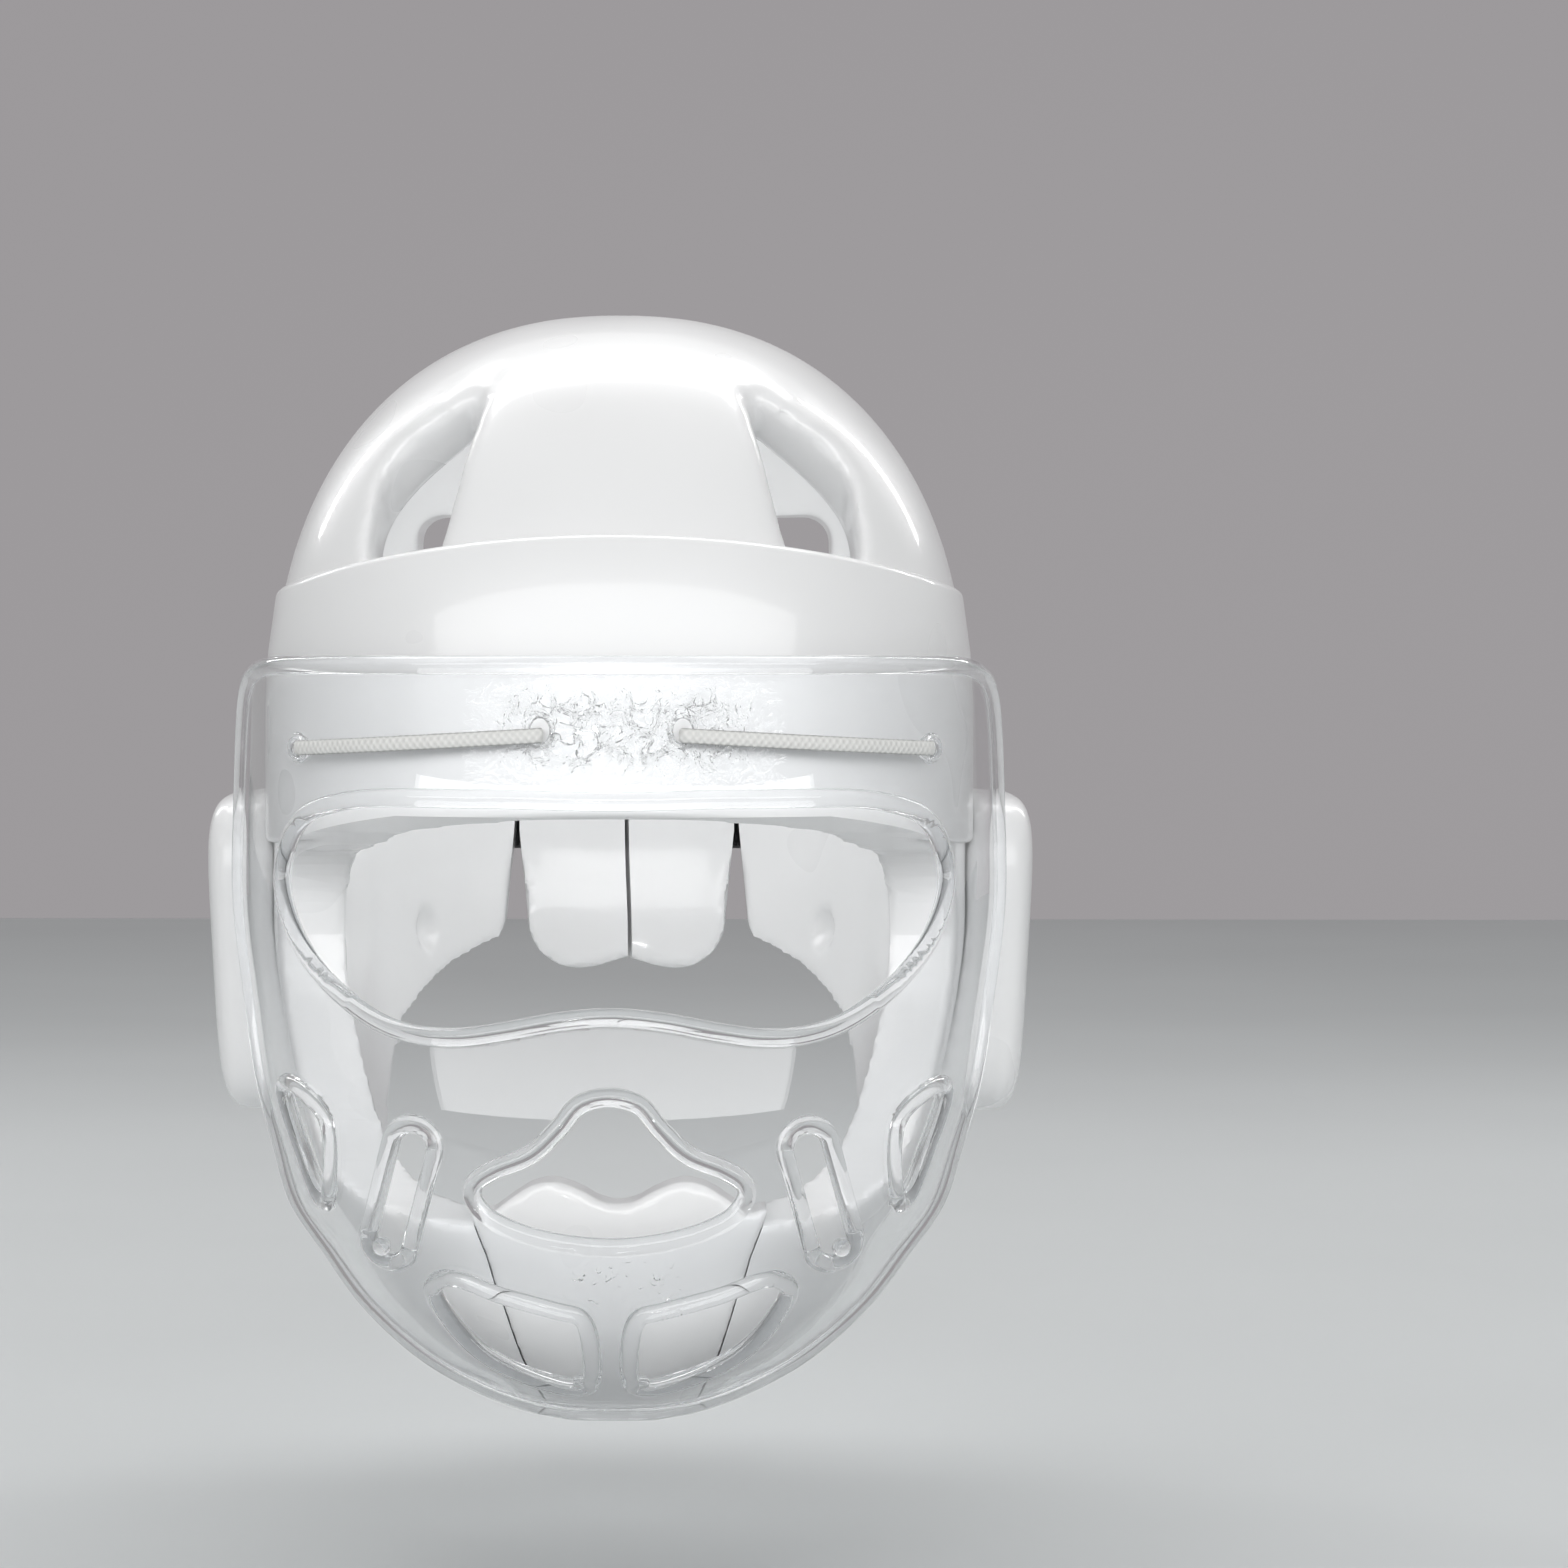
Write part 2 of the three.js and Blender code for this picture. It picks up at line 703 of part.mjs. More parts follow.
// Outlines of the shield's openings in the front view.
function shieldOpenings() {
  const down = (drop) => shieldTopZ - drop;
  const place = (table, across, width, drop, height) =>
    table.map((row) => [across + row.across * width, down(drop + row.down * height)]);
  const list = [];
  const eye = place(eyeOutline, 0, eyeHalfWidth, eyeTop, eyeHeight);
  list.push(smoothOutline(bothHalves(eye), eyeFacets));
  const mouth = place(mouthOutline, 0, mouthHalfWidth, mouthTop, mouthHeight);
  list.push(smoothOutline(bothHalves(mouth), mouthFacets));
  const slot = [];
  for (let i = 0; i < slotFacets; i += 1) {
    const a = ((i + 0.5) / slotFacets) * Math.PI * 2;
    const end = ((slotLength - slotWidth) / 2) * Math.sign(Math.sin(a));
    const u = (slotWidth / 2) * Math.cos(a);
    const v = end + (slotWidth / 2) * Math.sin(a);
    const lean = rad(slotLean);
    slot.push([
      slotAcross + u * Math.cos(lean) - v * Math.sin(lean),
      down(slotDown) + u * Math.sin(lean) + v * Math.cos(lean),
    ]);
  }
  const side = place(sideVentOutline, sideVentAcross, sideVentWidth, sideVentDown, sideVentHeight);
  const bottom = place(
    bottomVentOutline,
    bottomVentAcross,
    bottomVentWidth,
    bottomVentDown,
    bottomVentHeight,
  );
  const pairs = [slot, smoothOutline(side, sideVentFacets), smoothOutline(bottom, bottomVentFacets)];
  for (const outline of pairs) list.push(outline, mirrorOutline(outline));
  return list;
}

// Round bead swept along a closed path on the shield.
function bead(path) {
  const rings = path.map((point, i) => {
    const before = path[(i + path.length - 1) % path.length];
    const after = path[(i + 1) % path.length];
    const along = new THREE.Vector3().subVectors(after, before).normalize();
    const out = new THREE.Vector3(point.x, point.y - shieldCentre, 0).normalize();
    out.addScaledVector(along, -out.dot(along)).normalize();
    const across = new THREE.Vector3().crossVectors(along, out);
    return Array.from({ length: beadSides }, (_, s) => {
      const a = (s / beadSides) * Math.PI * 2;
      const p = point.clone();
      p.addScaledVector(out, beadRadius * Math.cos(a));
      return p.addScaledVector(across, beadRadius * Math.sin(a));
    });
  });
  return solid(closedLoft(rings));
}

function shieldForm(inward) {
  const rings = [];
  for (const row of [...shieldSections].reverse()) {
    const z = shieldTopZ - row.drop * shieldHeight;
    const sizes = shieldSizes(z, inward);
    const ring = [];
    for (let i = 0; i <= shieldFacets; i += 1) {
      const angle = -Math.PI / 2 + (Math.PI * i) / shieldFacets;
      const p = ovalPoint(sizes, angle, z);
      ring.push(new THREE.Vector3(p.x, p.y + shieldCentre, z));
    }
    rings.push(ring);
  }
  if (inward > 0) {
    const top = rings[rings.length - 1].map((p) => new THREE.Vector3(p.x, p.y, shieldTopZ + shieldHeight));
    const low = rings[0].map((p) => new THREE.Vector3(p.x, p.y, shieldTopZ - 2 * shieldHeight));
    rings.push(top);
    rings.unshift(low);
  }
  return solid(loft(rings));
}

// Edge of the shield: the side trim laid on both sides of the surface, and the straight top.
function shieldEdge() {
  const trim = smoothTrim();
  const half = trim.map(([y, z]) => edgePoint(y, z));
  const left = half.map((p) => new THREE.Vector3(-p.x, p.y, p.z)).reverse();
  const top = [];
  const low = [];
  const steps = 9;
  const upper = half[0];
  const lower = half[half.length - 1];
  for (let i = 1; i < steps; i += 1) {
    const t = -1 + (2 * i) / steps;
    top.push(shieldPoint(t * upper.x, upper.z, beadSink));
    low.push(shieldPoint(-t * lower.x, lower.z, beadSink));
  }
  return [...half, ...low, ...left, ...top];
}

function smoothTrim() {
  const points = trimPoints(shieldTrim.slice(1, -1), shieldFront, shieldTopZ, shieldHeight);
  const path = points.map(([y, z]) => new THREE.Vector3(y, z, 0));
  const curve = new THREE.CatmullRomCurve3(path, false, 'centripetal');
  return curve.getSpacedPoints(trimFacets).map((p) => [p.x, p.y]);
}

// Where the line of the beads has a given y at a height.
function edgePoint(y, z) {
  const sizes = shieldSizes(z, beadSink);
  const t = Math.min((shieldCentre - y) / sizes.front, 1);
  const x = sizes.width * Math.pow(1 - Math.pow(t, sizes.square), 1 / sizes.square);
  return new THREE.Vector3(x, y, z);
}

function faceShield() {
  const trim = smoothTrim();
  const away = 2 * shieldFront;
  const wide = 2 * shieldHalfWidth;
  const first = trim[0];
  const last = trim[trim.length - 1];
  const outline = [[-away, first[1]], ...trim, [-away, last[1]]];
  let shield = shieldForm(0).subtract(shieldForm(shieldThickness));
  shield = shield.intersect(sidePrism(outline, -wide, wide));
  const beads = [bead(shieldEdge())];
  for (const opening of shieldOpenings()) {
    shield = shield.subtract(frontPrism(opening, 0, away));
    beads.push(bead(opening.map(([x, z]) => shieldPoint(x, z, beadSink))));
  }
  for (const part of beads) shield = shield.add(part);
  for (const side of [-1, 1]) {
    for (const [x, drop] of [[laceInner, laceInnerDrop], [laceOuter, laceOuterDrop]]) {
      const hole = [];
      for (let i = 0; i < 10; i += 1) {
        const a = (i / 10) * Math.PI * 2;
        const r = laceHole / 2;
        hole.push([side * x + r * Math.cos(a), shieldTopZ - drop + r * Math.sin(a)]);
      }
      shield = shield.subtract(frontPrism(hole, 0, away));
    }
  }
  return shield;
}

// Flat lace from the foam out through one hole, along the shield and back through the other.
function shieldTie(side) {
  const stand = laceThickness / 2 + clearance;
  const at = (x, drop, out) => {
    const p = shieldPoint(side * x, shieldTopZ - drop, 0);
    return p.add(outward(side * x, shieldTopZ - drop).multiplyScalar(out));
  };
  const foamEnd = (x, drop) => {
    const hole = at(x, drop, 0);
    const z = shieldTopZ - drop;
    const sizes = foamSizes(z, browProud + clearance);
    const t = Math.min(Math.abs(x) / sizes.width, 1);
    const y = -sizes.front * Math.pow(1 - Math.pow(t, sizes.square), 1 / sizes.square);
    return new THREE.Vector3(hole.x, Math.max(y - clearance, hole.y + shieldThickness), z);
  };
  const ends = [[laceInner, laceInnerDrop], [laceOuter, laceOuterDrop]];
  const points = [foamEnd(...ends[0]), at(...ends[0], stand * 0.4)];
  for (const t of [0.08, 0.3, 0.5, 0.7, 0.92]) {
    const x = laceInner + (laceOuter - laceInner) * t;
    const drop = laceInnerDrop + (laceOuterDrop - laceInnerDrop) * t;
    points.push(at(x, drop, stand + (t > 0.2 && t < 0.8 ? laceThickness / 4 : 0)));
  }
  points.push(at(...ends[1], stand * 0.4), foamEnd(...ends[1]));
  const path = new THREE.CatmullRomCurve3(points, false, 'centripetal').getSpacedPoints(laceFacets);
  const rings = path.map((p, i) => {
    const before = path[Math.max(i - 1, 0)];
    const after = path[Math.min(i + 1, path.length - 1)];
    const along = new THREE.Vector3().subVectors(after, before).normalize();
    const flat = new THREE.Vector3().crossVectors(zAxis, along).normalize();
    const up = new THREE.Vector3().crossVectors(along, flat);
    return Array.from({ length: laceSides }, (_, s) => {
      const a = (s / laceSides) * Math.PI * 2;
      const q = p.clone();
      q.addScaledVector(flat, (laceThickness / 2) * Math.cos(a));
      return q.addScaledVector(up, (laceWidth / 2) * Math.sin(a));
    });
  });
  return solid(loft(rings));
}

function outward(x, z) {
  const step = 0.5;
  const a = shieldPoint(x - step, z, 0);
  const b = shieldPoint(x + step, z, 0);
  return new THREE.Vector3().crossVectors(b.sub(a), zAxis).normalize();
}

// Elastic strap across the back of the lobes.
function backStrap() {
  const rings = [];
  for (let i = 0; i <= strapFacets; i += 1) {
    const angle = Math.PI + rad(strapHalfAngle) * (-1 + (2 * i) / strapFacets);
    const ring = [];
    for (const [drop, grow] of [[0, 0], [0, 1], [0.5, 1], [1, 1], [1, 0], [0.5, 0]]) {
      const z = widestZ - strapDrop - drop * strapWidth;
      ring.push(foamPoint(angle, z, clearance * 2 + grow * strapThickness));
    }
    rings.push(ring);
  }
  return solid(loft(rings));
}

// Materials, one for each sub-part's real stuff.
const dippedFoam = new THREE.MeshStandardMaterial({ color: '#f2f2f2', roughness: 0.28, metalness: 0 });
const clearPlastic = new THREE.MeshStandardMaterial({
  color: '#eef2f4',
  roughness: 0.05,
  metalness: 0,
  transparent: true,
  opacity: 0.3,
});
const whiteLace = new THREE.MeshStandardMaterial({ color: '#ececea', roughness: 0.8, metalness: 0 });
const blackElastic = new THREE.MeshStandardMaterial({ color: '#161616', roughness: 0.85, metalness: 0 });

function toMesh(name, body, material) {
  const mesh = body.getMesh();
  const geometry = closedGeometry(mesh.vertProperties, Array.from(mesh.triVerts));
  geometry.computeVertexNormals();
  const part = new THREE.Mesh(geometry, material);
  part.name = name;
  return part;
}

const headGuard = new THREE.Group();
headGuard.add(
  toMesh('head_shell', headShell(), dippedFoam),
  toMesh('ear_pad_left', earPad(-1), dippedFoam),
  toMesh('ear_pad_right', earPad(1), dippedFoam),
  toMesh('chin_pad', chinPad(), dippedFoam),
  toMesh('face_shield', faceShield(), clearPlastic),
  toMesh('shield_tie_left', shieldTie(-1), whiteLace),
  toMesh('shield_tie_right', shieldTie(1), whiteLace),
  toMesh('back_strap', backStrap(), blackElastic),
);

export default headGuard;
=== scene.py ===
"""Karate head guard: dipped foam, ear and chin pads, a clear face shield, its laces and the back strap."""
import math
from collections import namedtuple

import bpy
import numpy as np
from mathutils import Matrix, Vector


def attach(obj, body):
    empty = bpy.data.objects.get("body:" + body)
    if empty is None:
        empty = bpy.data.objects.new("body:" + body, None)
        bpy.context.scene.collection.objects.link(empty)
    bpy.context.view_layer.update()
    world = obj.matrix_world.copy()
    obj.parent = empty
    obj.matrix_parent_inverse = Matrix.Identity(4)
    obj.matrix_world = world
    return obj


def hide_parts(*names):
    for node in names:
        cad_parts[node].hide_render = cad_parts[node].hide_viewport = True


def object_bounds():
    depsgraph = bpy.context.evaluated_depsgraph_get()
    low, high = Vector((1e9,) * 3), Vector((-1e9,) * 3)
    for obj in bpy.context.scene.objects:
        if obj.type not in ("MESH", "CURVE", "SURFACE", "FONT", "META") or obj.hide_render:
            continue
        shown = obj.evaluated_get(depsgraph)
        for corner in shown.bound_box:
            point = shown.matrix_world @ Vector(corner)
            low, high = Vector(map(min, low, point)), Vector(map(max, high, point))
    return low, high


bl_info = {
    "name": "Karate head guard",
    "version": (1, 0, 0),
    "blender": (4, 5, 0),
    "location": "View3D > Sidebar > Head guard",
    "description": "Builds the foam, pads, clear shield, laces and strap of a karate head guard",
    "category": "Add Mesh",
}

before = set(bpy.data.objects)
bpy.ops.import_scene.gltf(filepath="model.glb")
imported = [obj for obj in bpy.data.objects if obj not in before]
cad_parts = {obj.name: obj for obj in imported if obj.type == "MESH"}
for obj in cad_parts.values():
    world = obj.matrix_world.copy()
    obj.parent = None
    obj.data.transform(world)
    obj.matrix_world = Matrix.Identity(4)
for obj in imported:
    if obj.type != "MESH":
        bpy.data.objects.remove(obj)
CAD_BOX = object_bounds()

# Sections of the foam below its widest level: drop is a share of the jaw's drop, the rest of the head sizes
FoamSection = namedtuple("FoamSection", "drop width front back square")
FOAM_SECTIONS = (
    FoamSection(0.0, 1.0, 1.0, 1.0, 2.35),
    FoamSection(0.23, 1.0, 1.02, 1.0, 2.35),
    FoamSection(0.35, 0.995, 1.08, 0.96, 2.4),
    FoamSection(0.52, 0.935, 1.17, 0.94, 2.6),
    FoamSection(0.67, 0.85, 1.22, 0.92, 2.9),
    FoamSection(0.76, 0.765, 1.19, 0.91, 2.75),
    FoamSection(0.855, 0.675, 1.11, 0.9, 2.6),
    FoamSection(0.93, 0.565, 0.99, 0.85, 2.4),
    FoamSection(1.0, 0.38, 0.84, 0.8, 2.3),
)
# Outer sections of the shield: drop is a share of its height, width of its half width, front of its depth
ShieldSection = namedtuple("ShieldSection", "drop width front")
SHIELD_SECTIONS = (
    ShieldSection(0.0, 0.991, 0.997),
    ShieldSection(0.1, 0.996, 1.0),
    ShieldSection(0.19, 1.0, 1.016),
    ShieldSection(0.33, 0.999, 1.08),
    ShieldSection(0.475, 0.965, 1.144),
    ShieldSection(0.585, 0.932, 1.19),
    ShieldSection(0.675, 0.886, 1.199),
    ShieldSection(0.745, 0.848, 1.182),
    ShieldSection(0.805, 0.774, 1.144),
    ShieldSection(0.865, 0.7, 1.097),
    ShieldSection(0.925, 0.596, 1.02),
    ShieldSection(0.962, 0.503, 0.944),
    ShieldSection(1.0, 0.395, 0.833),
)
# Outlines in shares of each opening's own width and height, (across, down); the first two are right halves
EYE_OUTLINE = (
    (0.0, 0.0), (0.4, -0.01), (0.8, 0.01), (0.94, 0.1), (1.0, 0.34), (0.958, 0.58), (0.85, 0.78),
    (0.69, 0.94), (0.565, 0.995), (0.435, 1.0), (0.3, 0.97), (0.155, 0.93), (0.0, 0.91),
)
MOUTH_OUTLINE = (
    (0.0, 0.0), (0.22, 0.05), (0.37, 0.205), (0.57, 0.375), (0.845, 0.486), (0.98, 0.575),
    (1.0, 0.66), (0.905, 0.79), (0.69, 0.893), (0.385, 0.966), (0.0, 1.0),
)
SIDE_VENT_OUTLINE = (
    (0.98, 0.02), (0.99, 0.12), (0.66, 0.55), (0.25, 0.97), (0.13, 0.98), (0.0, 0.43), (0.16, 0.18),
    (0.8, 0.0),
)
BOTTOM_VENT_OUTLINE = (
    (1.0, 0.12), (0.93, 0.01), (0.82, 0.0), (0.55, 0.12), (0.18, 0.25), (0.05, 0.3), (0.0, 0.43),
    (0.0, 0.96), (0.09, 1.0), (0.39, 0.9), (0.7, 0.69), (0.91, 0.38),
)
# Crown vent seen along its own axis: (across, along) in shares of the half width and of the dome's height
CROWN_VENT_OUTLINE = (
    (0.325, -0.39), (0.37, -0.405), (0.4, -0.5), (0.53, -0.57), (0.625, -0.625), (0.65, -0.73),
    (0.66, -1.1), (0.55, -1.1), (0.36, -0.52),
)
# Side views: (back, drop) in shares of the front sizes and of each piece's height
NECK_TRIM = (
    (1.2, 0.36), (0.82, 0.366), (0.5, 0.512), (0.27, 0.6), (0.0, 0.657), (-0.45, 0.826),
    (-0.68, 0.965), (-0.86, 1.006), (-0.86, 1.2),
)
JAW_TRIM = ((-0.5, 0.436), (-0.64, 0.57), (-0.77, 0.634), (-1.0, 0.686), (-1.5, 0.715))
SHIELD_TRIM = (
    (-0.66, 0.0), (-0.56, 0.002), (-0.46, 0.009), (-0.36, 0.025), (-0.285, 0.055), (-0.247, 0.1),
    (-0.238, 0.17), (-0.238, 0.33), (-0.24, 0.48), (-0.3, 0.61), (-0.465, 0.773), (-0.68, 0.908),
    (-0.85, 0.99),
)
# Chin pad in the front view: humps (across, down in hump heights), sides (across, share of the way down)
CHIN_HUMPS = ((0.0, 1.1), (0.1, 1.0), (0.26, 0.4), (0.42, 0.05), (0.56, 0.2), (0.7, 0.8), (0.86, 1.7))
CHIN_SIDES = ((1.0, 0.1), (0.87, 0.3), (0.66, 0.75), (0.42, 1.1))
# Small clear knobs on the rims: across from the middle, down from the shield's top, radius
KNOBS = ((0.0557, 0.141, 0.0023), (0.0076, 0.1735, 0.0017))

# How square the shield's curve is, seen from above: 2 is an ellipse
SHIELD_SQUARE = 2.6
# The same for an ear pad's outline and for its thickness
EAR_SQUARE, EAR_EDGE_SQUARE = 4.5, 6
# Neck lobes: width left beside them by the neck trim, taper towards the foot, splay of the slits at their top
LOBE_STEP, LOBE_TAPER, LOBE_SPLAY = 0.0015, 0.0025, 0.0006
# Half the height of a lace hole, as a share of its width
HOLE_TALL = 0.62

# Soft lights: width and height of the panel in metres, where it stands and looks, watts
SoftLight = namedtuple("SoftLight", "name width height place target power")
MIDDLE = (0, 0, -0.1)
SOFT_LIGHTS = (
    SoftLight("top_softbox", 1.3, 0.42, (-0.03, 0.48, 1.0), MIDDLE, 6),
    SoftLight("front_fill", 4.4, 0.6, (0.0, -1.65, 0.52), (0.0, -0.1, -0.18), 27),
    SoftLight("inner_fill", 0.12, 0.05, (0.0, -0.04, -0.075), (0.0, 0.1, -0.115), 0.07),
    SoftLight("left_edge_light", 0.05, 0.7, (-0.73, 0.84, 0.55), MIDDLE, 1.6),
    SoftLight("right_edge_light", 0.05, 0.7, (0.73, 0.84, 0.55), MIDDLE, 1.6),
    SoftLight("brow_window", 0.08, 0.03, (-0.09, -1.5, -0.005), MIDDLE, 0.5),
    SoftLight("floor_wash", 3.2, 2.4, (0.0, 1.5, 2.0), (0.0, 1.5, -0.3), 10),
)
FLOOR_RADIUS = 14
BACKDROP_PLACE, BACKDROP_SIZE = (0.3, 2.6, 0.6), (3.2, 2.6, 1)
# Shift that frames the guard to the left of the middle, and low
CAMERA_SHIFT = (0.1043, -0.081)

X_AXIS, Y_AXIS, Z_AXIS = Vector((1, 0, 0)), Vector((0, 1, 0)), Vector((0, 0, 1))
FAR = 0.5


def length(name, description, default):
    return bpy.props.FloatProperty(name=name, description=description, default=default, unit="LENGTH",
                                   precision=5)


def passes(name, description, default):
    return bpy.props.IntProperty(name=name, description=description, default=default, min=1, max=60,
                                 subtype="UNSIGNED")


def share_of(name, description, default, high=1.0):
    return bpy.props.FloatProperty(name=name, description=description, default=default, min=0, max=high,
                                   subtype="FACTOR")


def turn(name, description, degrees):
    return bpy.props.FloatProperty(name=name, description=description, default=math.radians(degrees),
                                   subtype="ANGLE")


def colour(name, description, default):
    return bpy.props.FloatVectorProperty(name=name, description=description, default=default, size=3, min=0,
                                         max=1, subtype="COLOR")


class FoamSizes(bpy.types.PropertyGroup):
    """Sizes of the dipped foam shell."""
    wall: length("Wall", "Thickness of the foam", 0.016)
    half_width: length("Half width", "Half of the foam's widest width", 0.092)
    front: length("Front", "Depth of the foam before the crown's centre", 0.110)
    back: length("Back", "Depth of the foam behind the crown's centre", 0.115)
    dome: length("Dome", "Height of the dome over the widest level", 0.106)
    dome_square: bpy.props.FloatProperty(name="Dome squareness", description="How full the dome's arc is",
                                         default=2.25, min=2, max=4, subtype="FACTOR")
    jaw_drop: length("Jaw drop", "From the widest level to the foot of the chin", 0.172)
    clearance: length("Clearance", "Gap between pieces that lie on each other", 0.0003)
    edge_voxel: length("Grain of the form", "Size of the steps from which the dipped skin is rounded", 0.0014)
    edge_rounding: passes("Edge rounding", "Passes that round the dipped edges", 6)
    arch_voxel: length("Grain of the dome", "Size of the steps from which the arches are rounded", 0.002)
    arch_rounding: passes("Arch rounding", "Passes that round the dome's arches", 26)
    spare: length("Spare edge", "Foam left at the neck edge, trimmed off after the dip", 0.0008)


class BandSizes(bpy.types.PropertyGroup):
    """Sizes of the raised band round the brow."""
    proud: length("Proud", "How far the band stands out at the front", 0.005)
    side_proud: length("Proud at the side", "How far the band stands out at the temples", 0.0015)
    top_drop: length("Top drop", "From the crown down to the band's ledge", 0.061)
    top_sag: length("Top sag", "How much lower the ledge lies at the temples", 0.0125)
    height: length("Height", "Height of the band at the front", 0.069)
    end_sag: length("Low sag", "How much lower its lower edge lies at the temples", 0.010)
    reach: turn("Reach", "How far the band goes round to each side", 105)
    fade: turn("Fade", "Sweep in which the band's ends sink into the foam", 20)
    edge: length("Edge", "Radius of the band's edges", 0.002)


class OpeningSizes(bpy.types.PropertyGroup):
    """Sizes of the openings and slits of the shell."""
    face_rim: length("Face rim", "How far back the face opening reaches", 0.050)
    face_corner: length("Face corner", "Radius of the upper corner of the face opening", 0.014)
    crown_tilt: turn("Crown vent tilt", "Tilt of the crown vents' axis", 45)
    sill_drop: length("Sill drop", "How far the crown vents reach down behind the brow's ledge", 0.005)
    rear_width: length("Rear vent width", "Width of each rear vent", 0.036)
    rear_height: length("Rear vent height", "Height of each rear vent", 0.043)
    rear_inset: length("Rear vent inset", "From the middle to the rear vents", 0.022)
    rear_top: length("Rear vent top", "From the crown down to the rear vents", 0.051)
    lobe_half_width: length("Lobe half width", "Half width of the two neck lobes", 0.031)
    lobe_drop: length("Lobe drop", "From the widest level to the foot of the lobes", 0.075)
    lobe_corner: length("Lobe corner", "Radius of the lobes' outer corners", 0.0145)
    lobe_notch: length("Lobe notch", "Depth of the notch between the lobes", 0.0034)
    lobe_slit: length("Lobe slit", "Width of the slit between the lobes", 0.0012)
    lobe_slant: turn("Lobe slant", "Slant of the slit between the lobes, seen from above", 10)
    slit_top: length("Slit top", "From the widest level to the top of the slits", 0.015)
    slit_mouth: length("Slit mouth", "Width of the side slits at their foot", 0.0065)
    dent_height: length("Ear dent height", "Height of the dents over the ears", 0.0135)
    dent_width: length("Ear dent width", "Radius of the dents over the ears", 0.0042)
    dent_depth: length("Ear dent depth", "Depth of the dents over the ears", 0.0034)
    dent_drop: length("Ear dent drop", "From the widest level to the dents", 0.062)
    dent_angle: turn("Ear dent angle", "Place of the dents, round from the front", 135.5)


class PadSizes(bpy.types.PropertyGroup):
    """Sizes of the chin pad and the ear pads."""
    chin_half_width: length("Chin half width", "Half width of the chin pad", 0.036)
    chin_top: length("Chin top", "From the widest level to the top of the chin pad", 0.110)
    chin_hump: length("Chin hump", "Height of the two humps on the chin pad", 0.005)
    chin_shift: length("Chin shift", "How far the chin pad sits off the middle", 0.002)
    ear_proud: length("Ear proud", "How far the ear pads stand out", 0.019)
    ear_length: length("Ear length", "Length of the ear pads, front to back", 0.079)
    ear_height: length("Ear height", "Height of the ear pads", 0.085)
    ear_gap: length("Ear gap", "Gap between an ear pad and the shield", 0.0012)
    ear_rise: length("Ear rise", "How far the ear pads reach over the brow's lower edge", 0.003)
    ear_lean: length("Ear lean", "How far the ear pads' feet lean in", 0.005)
    voxel: length("Grain of the pads", "Size of the steps from which the pads are rounded", 0.0012)
    ear_rounding: passes("Ear rounding", "Passes that round the ear pads", 10)
    chin_rounding: passes("Chin rounding", "Passes that round the chin pad", 5)


class ShieldSizes(bpy.types.PropertyGroup):
    """Sizes of the clear shield."""
    thickness: length("Thickness", "Thickness of the sheet", 0.002)
    gap: length("Gap", "Gap between the brow band and the shield", 0.0006)
    top: length("Top", "From the crown down to the shield's top edge", 0.093)
    height: length("Height", "Height of the shield", 0.185)
    half_width: length("Half width", "Half of the shield's width", 0.1014)
    centre: length("Centre", "How far behind the crown's centre the shield's arc ends", 0.020)
    bead: length("Bead", "Radius of the round rim at each edge", 0.00235)
    bead_sink: length("Bead sink", "How far the rims lie under the outer surface", 0.0002)
    lace_hole: length("Lace hole", "Width of the inner lace holes", 0.0062)
    outer_hole: length("Outer hole", "Width of the outer lace holes", 0.005)
    hole_lip: length("Hole lip", "Radius of the moulded lip round the lace holes", 0.0008)
    hole_rise: length("Hole rise", "How far the inner lace holes reach over the laces", 0.0011)
    eye_half_width: length("Eye half width", "Half width of the eye opening", 0.083)
    eye_height: length("Eye height", "Height of the eye opening", 0.056)
    eye_top: length("Eye top", "From the shield's top to the eye opening", 0.033)
    mouth_half_width: length("Mouth half width", "Half width of the mouth opening", 0.0326)
    mouth_height: length("Mouth height", "Height of the mouth opening", 0.0356)
    mouth_top: length("Mouth top", "From the shield's top to the mouth opening", 0.1025)
    slot_width: length("Slot width", "Width of the leaning slots", 0.0112)
    slot_length: length("Slot length", "Length of the leaning slots", 0.036)
    slot_lean: turn("Slot lean", "Lean of the slots", 15)
    slot_across: length("Slot across", "From the middle to the slots", 0.0504)
    slot_down: length("Slot down", "From the shield's top to the middle of the slots", 0.1273)
    side_width: length("Side vent width", "Width of the side vents", 0.014)
    side_height: length("Side vent height", "Height of the side vents", 0.029)
    side_across: length("Side vent across", "From the middle to the side vents", 0.0685)
    side_down: length("Side vent down", "From the shield's top to the side vents", 0.104)
    bottom_width: length("Bottom vent width", "Width of the bottom vents", 0.0377)
    bottom_height: length("Bottom vent height", "Height of the bottom vents", 0.0282)
    bottom_across: length("Bottom vent across", "From the middle to the bottom vents", 0.0053)
    bottom_down: length("Bottom vent down", "From the shield's top to the bottom vents", 0.147)


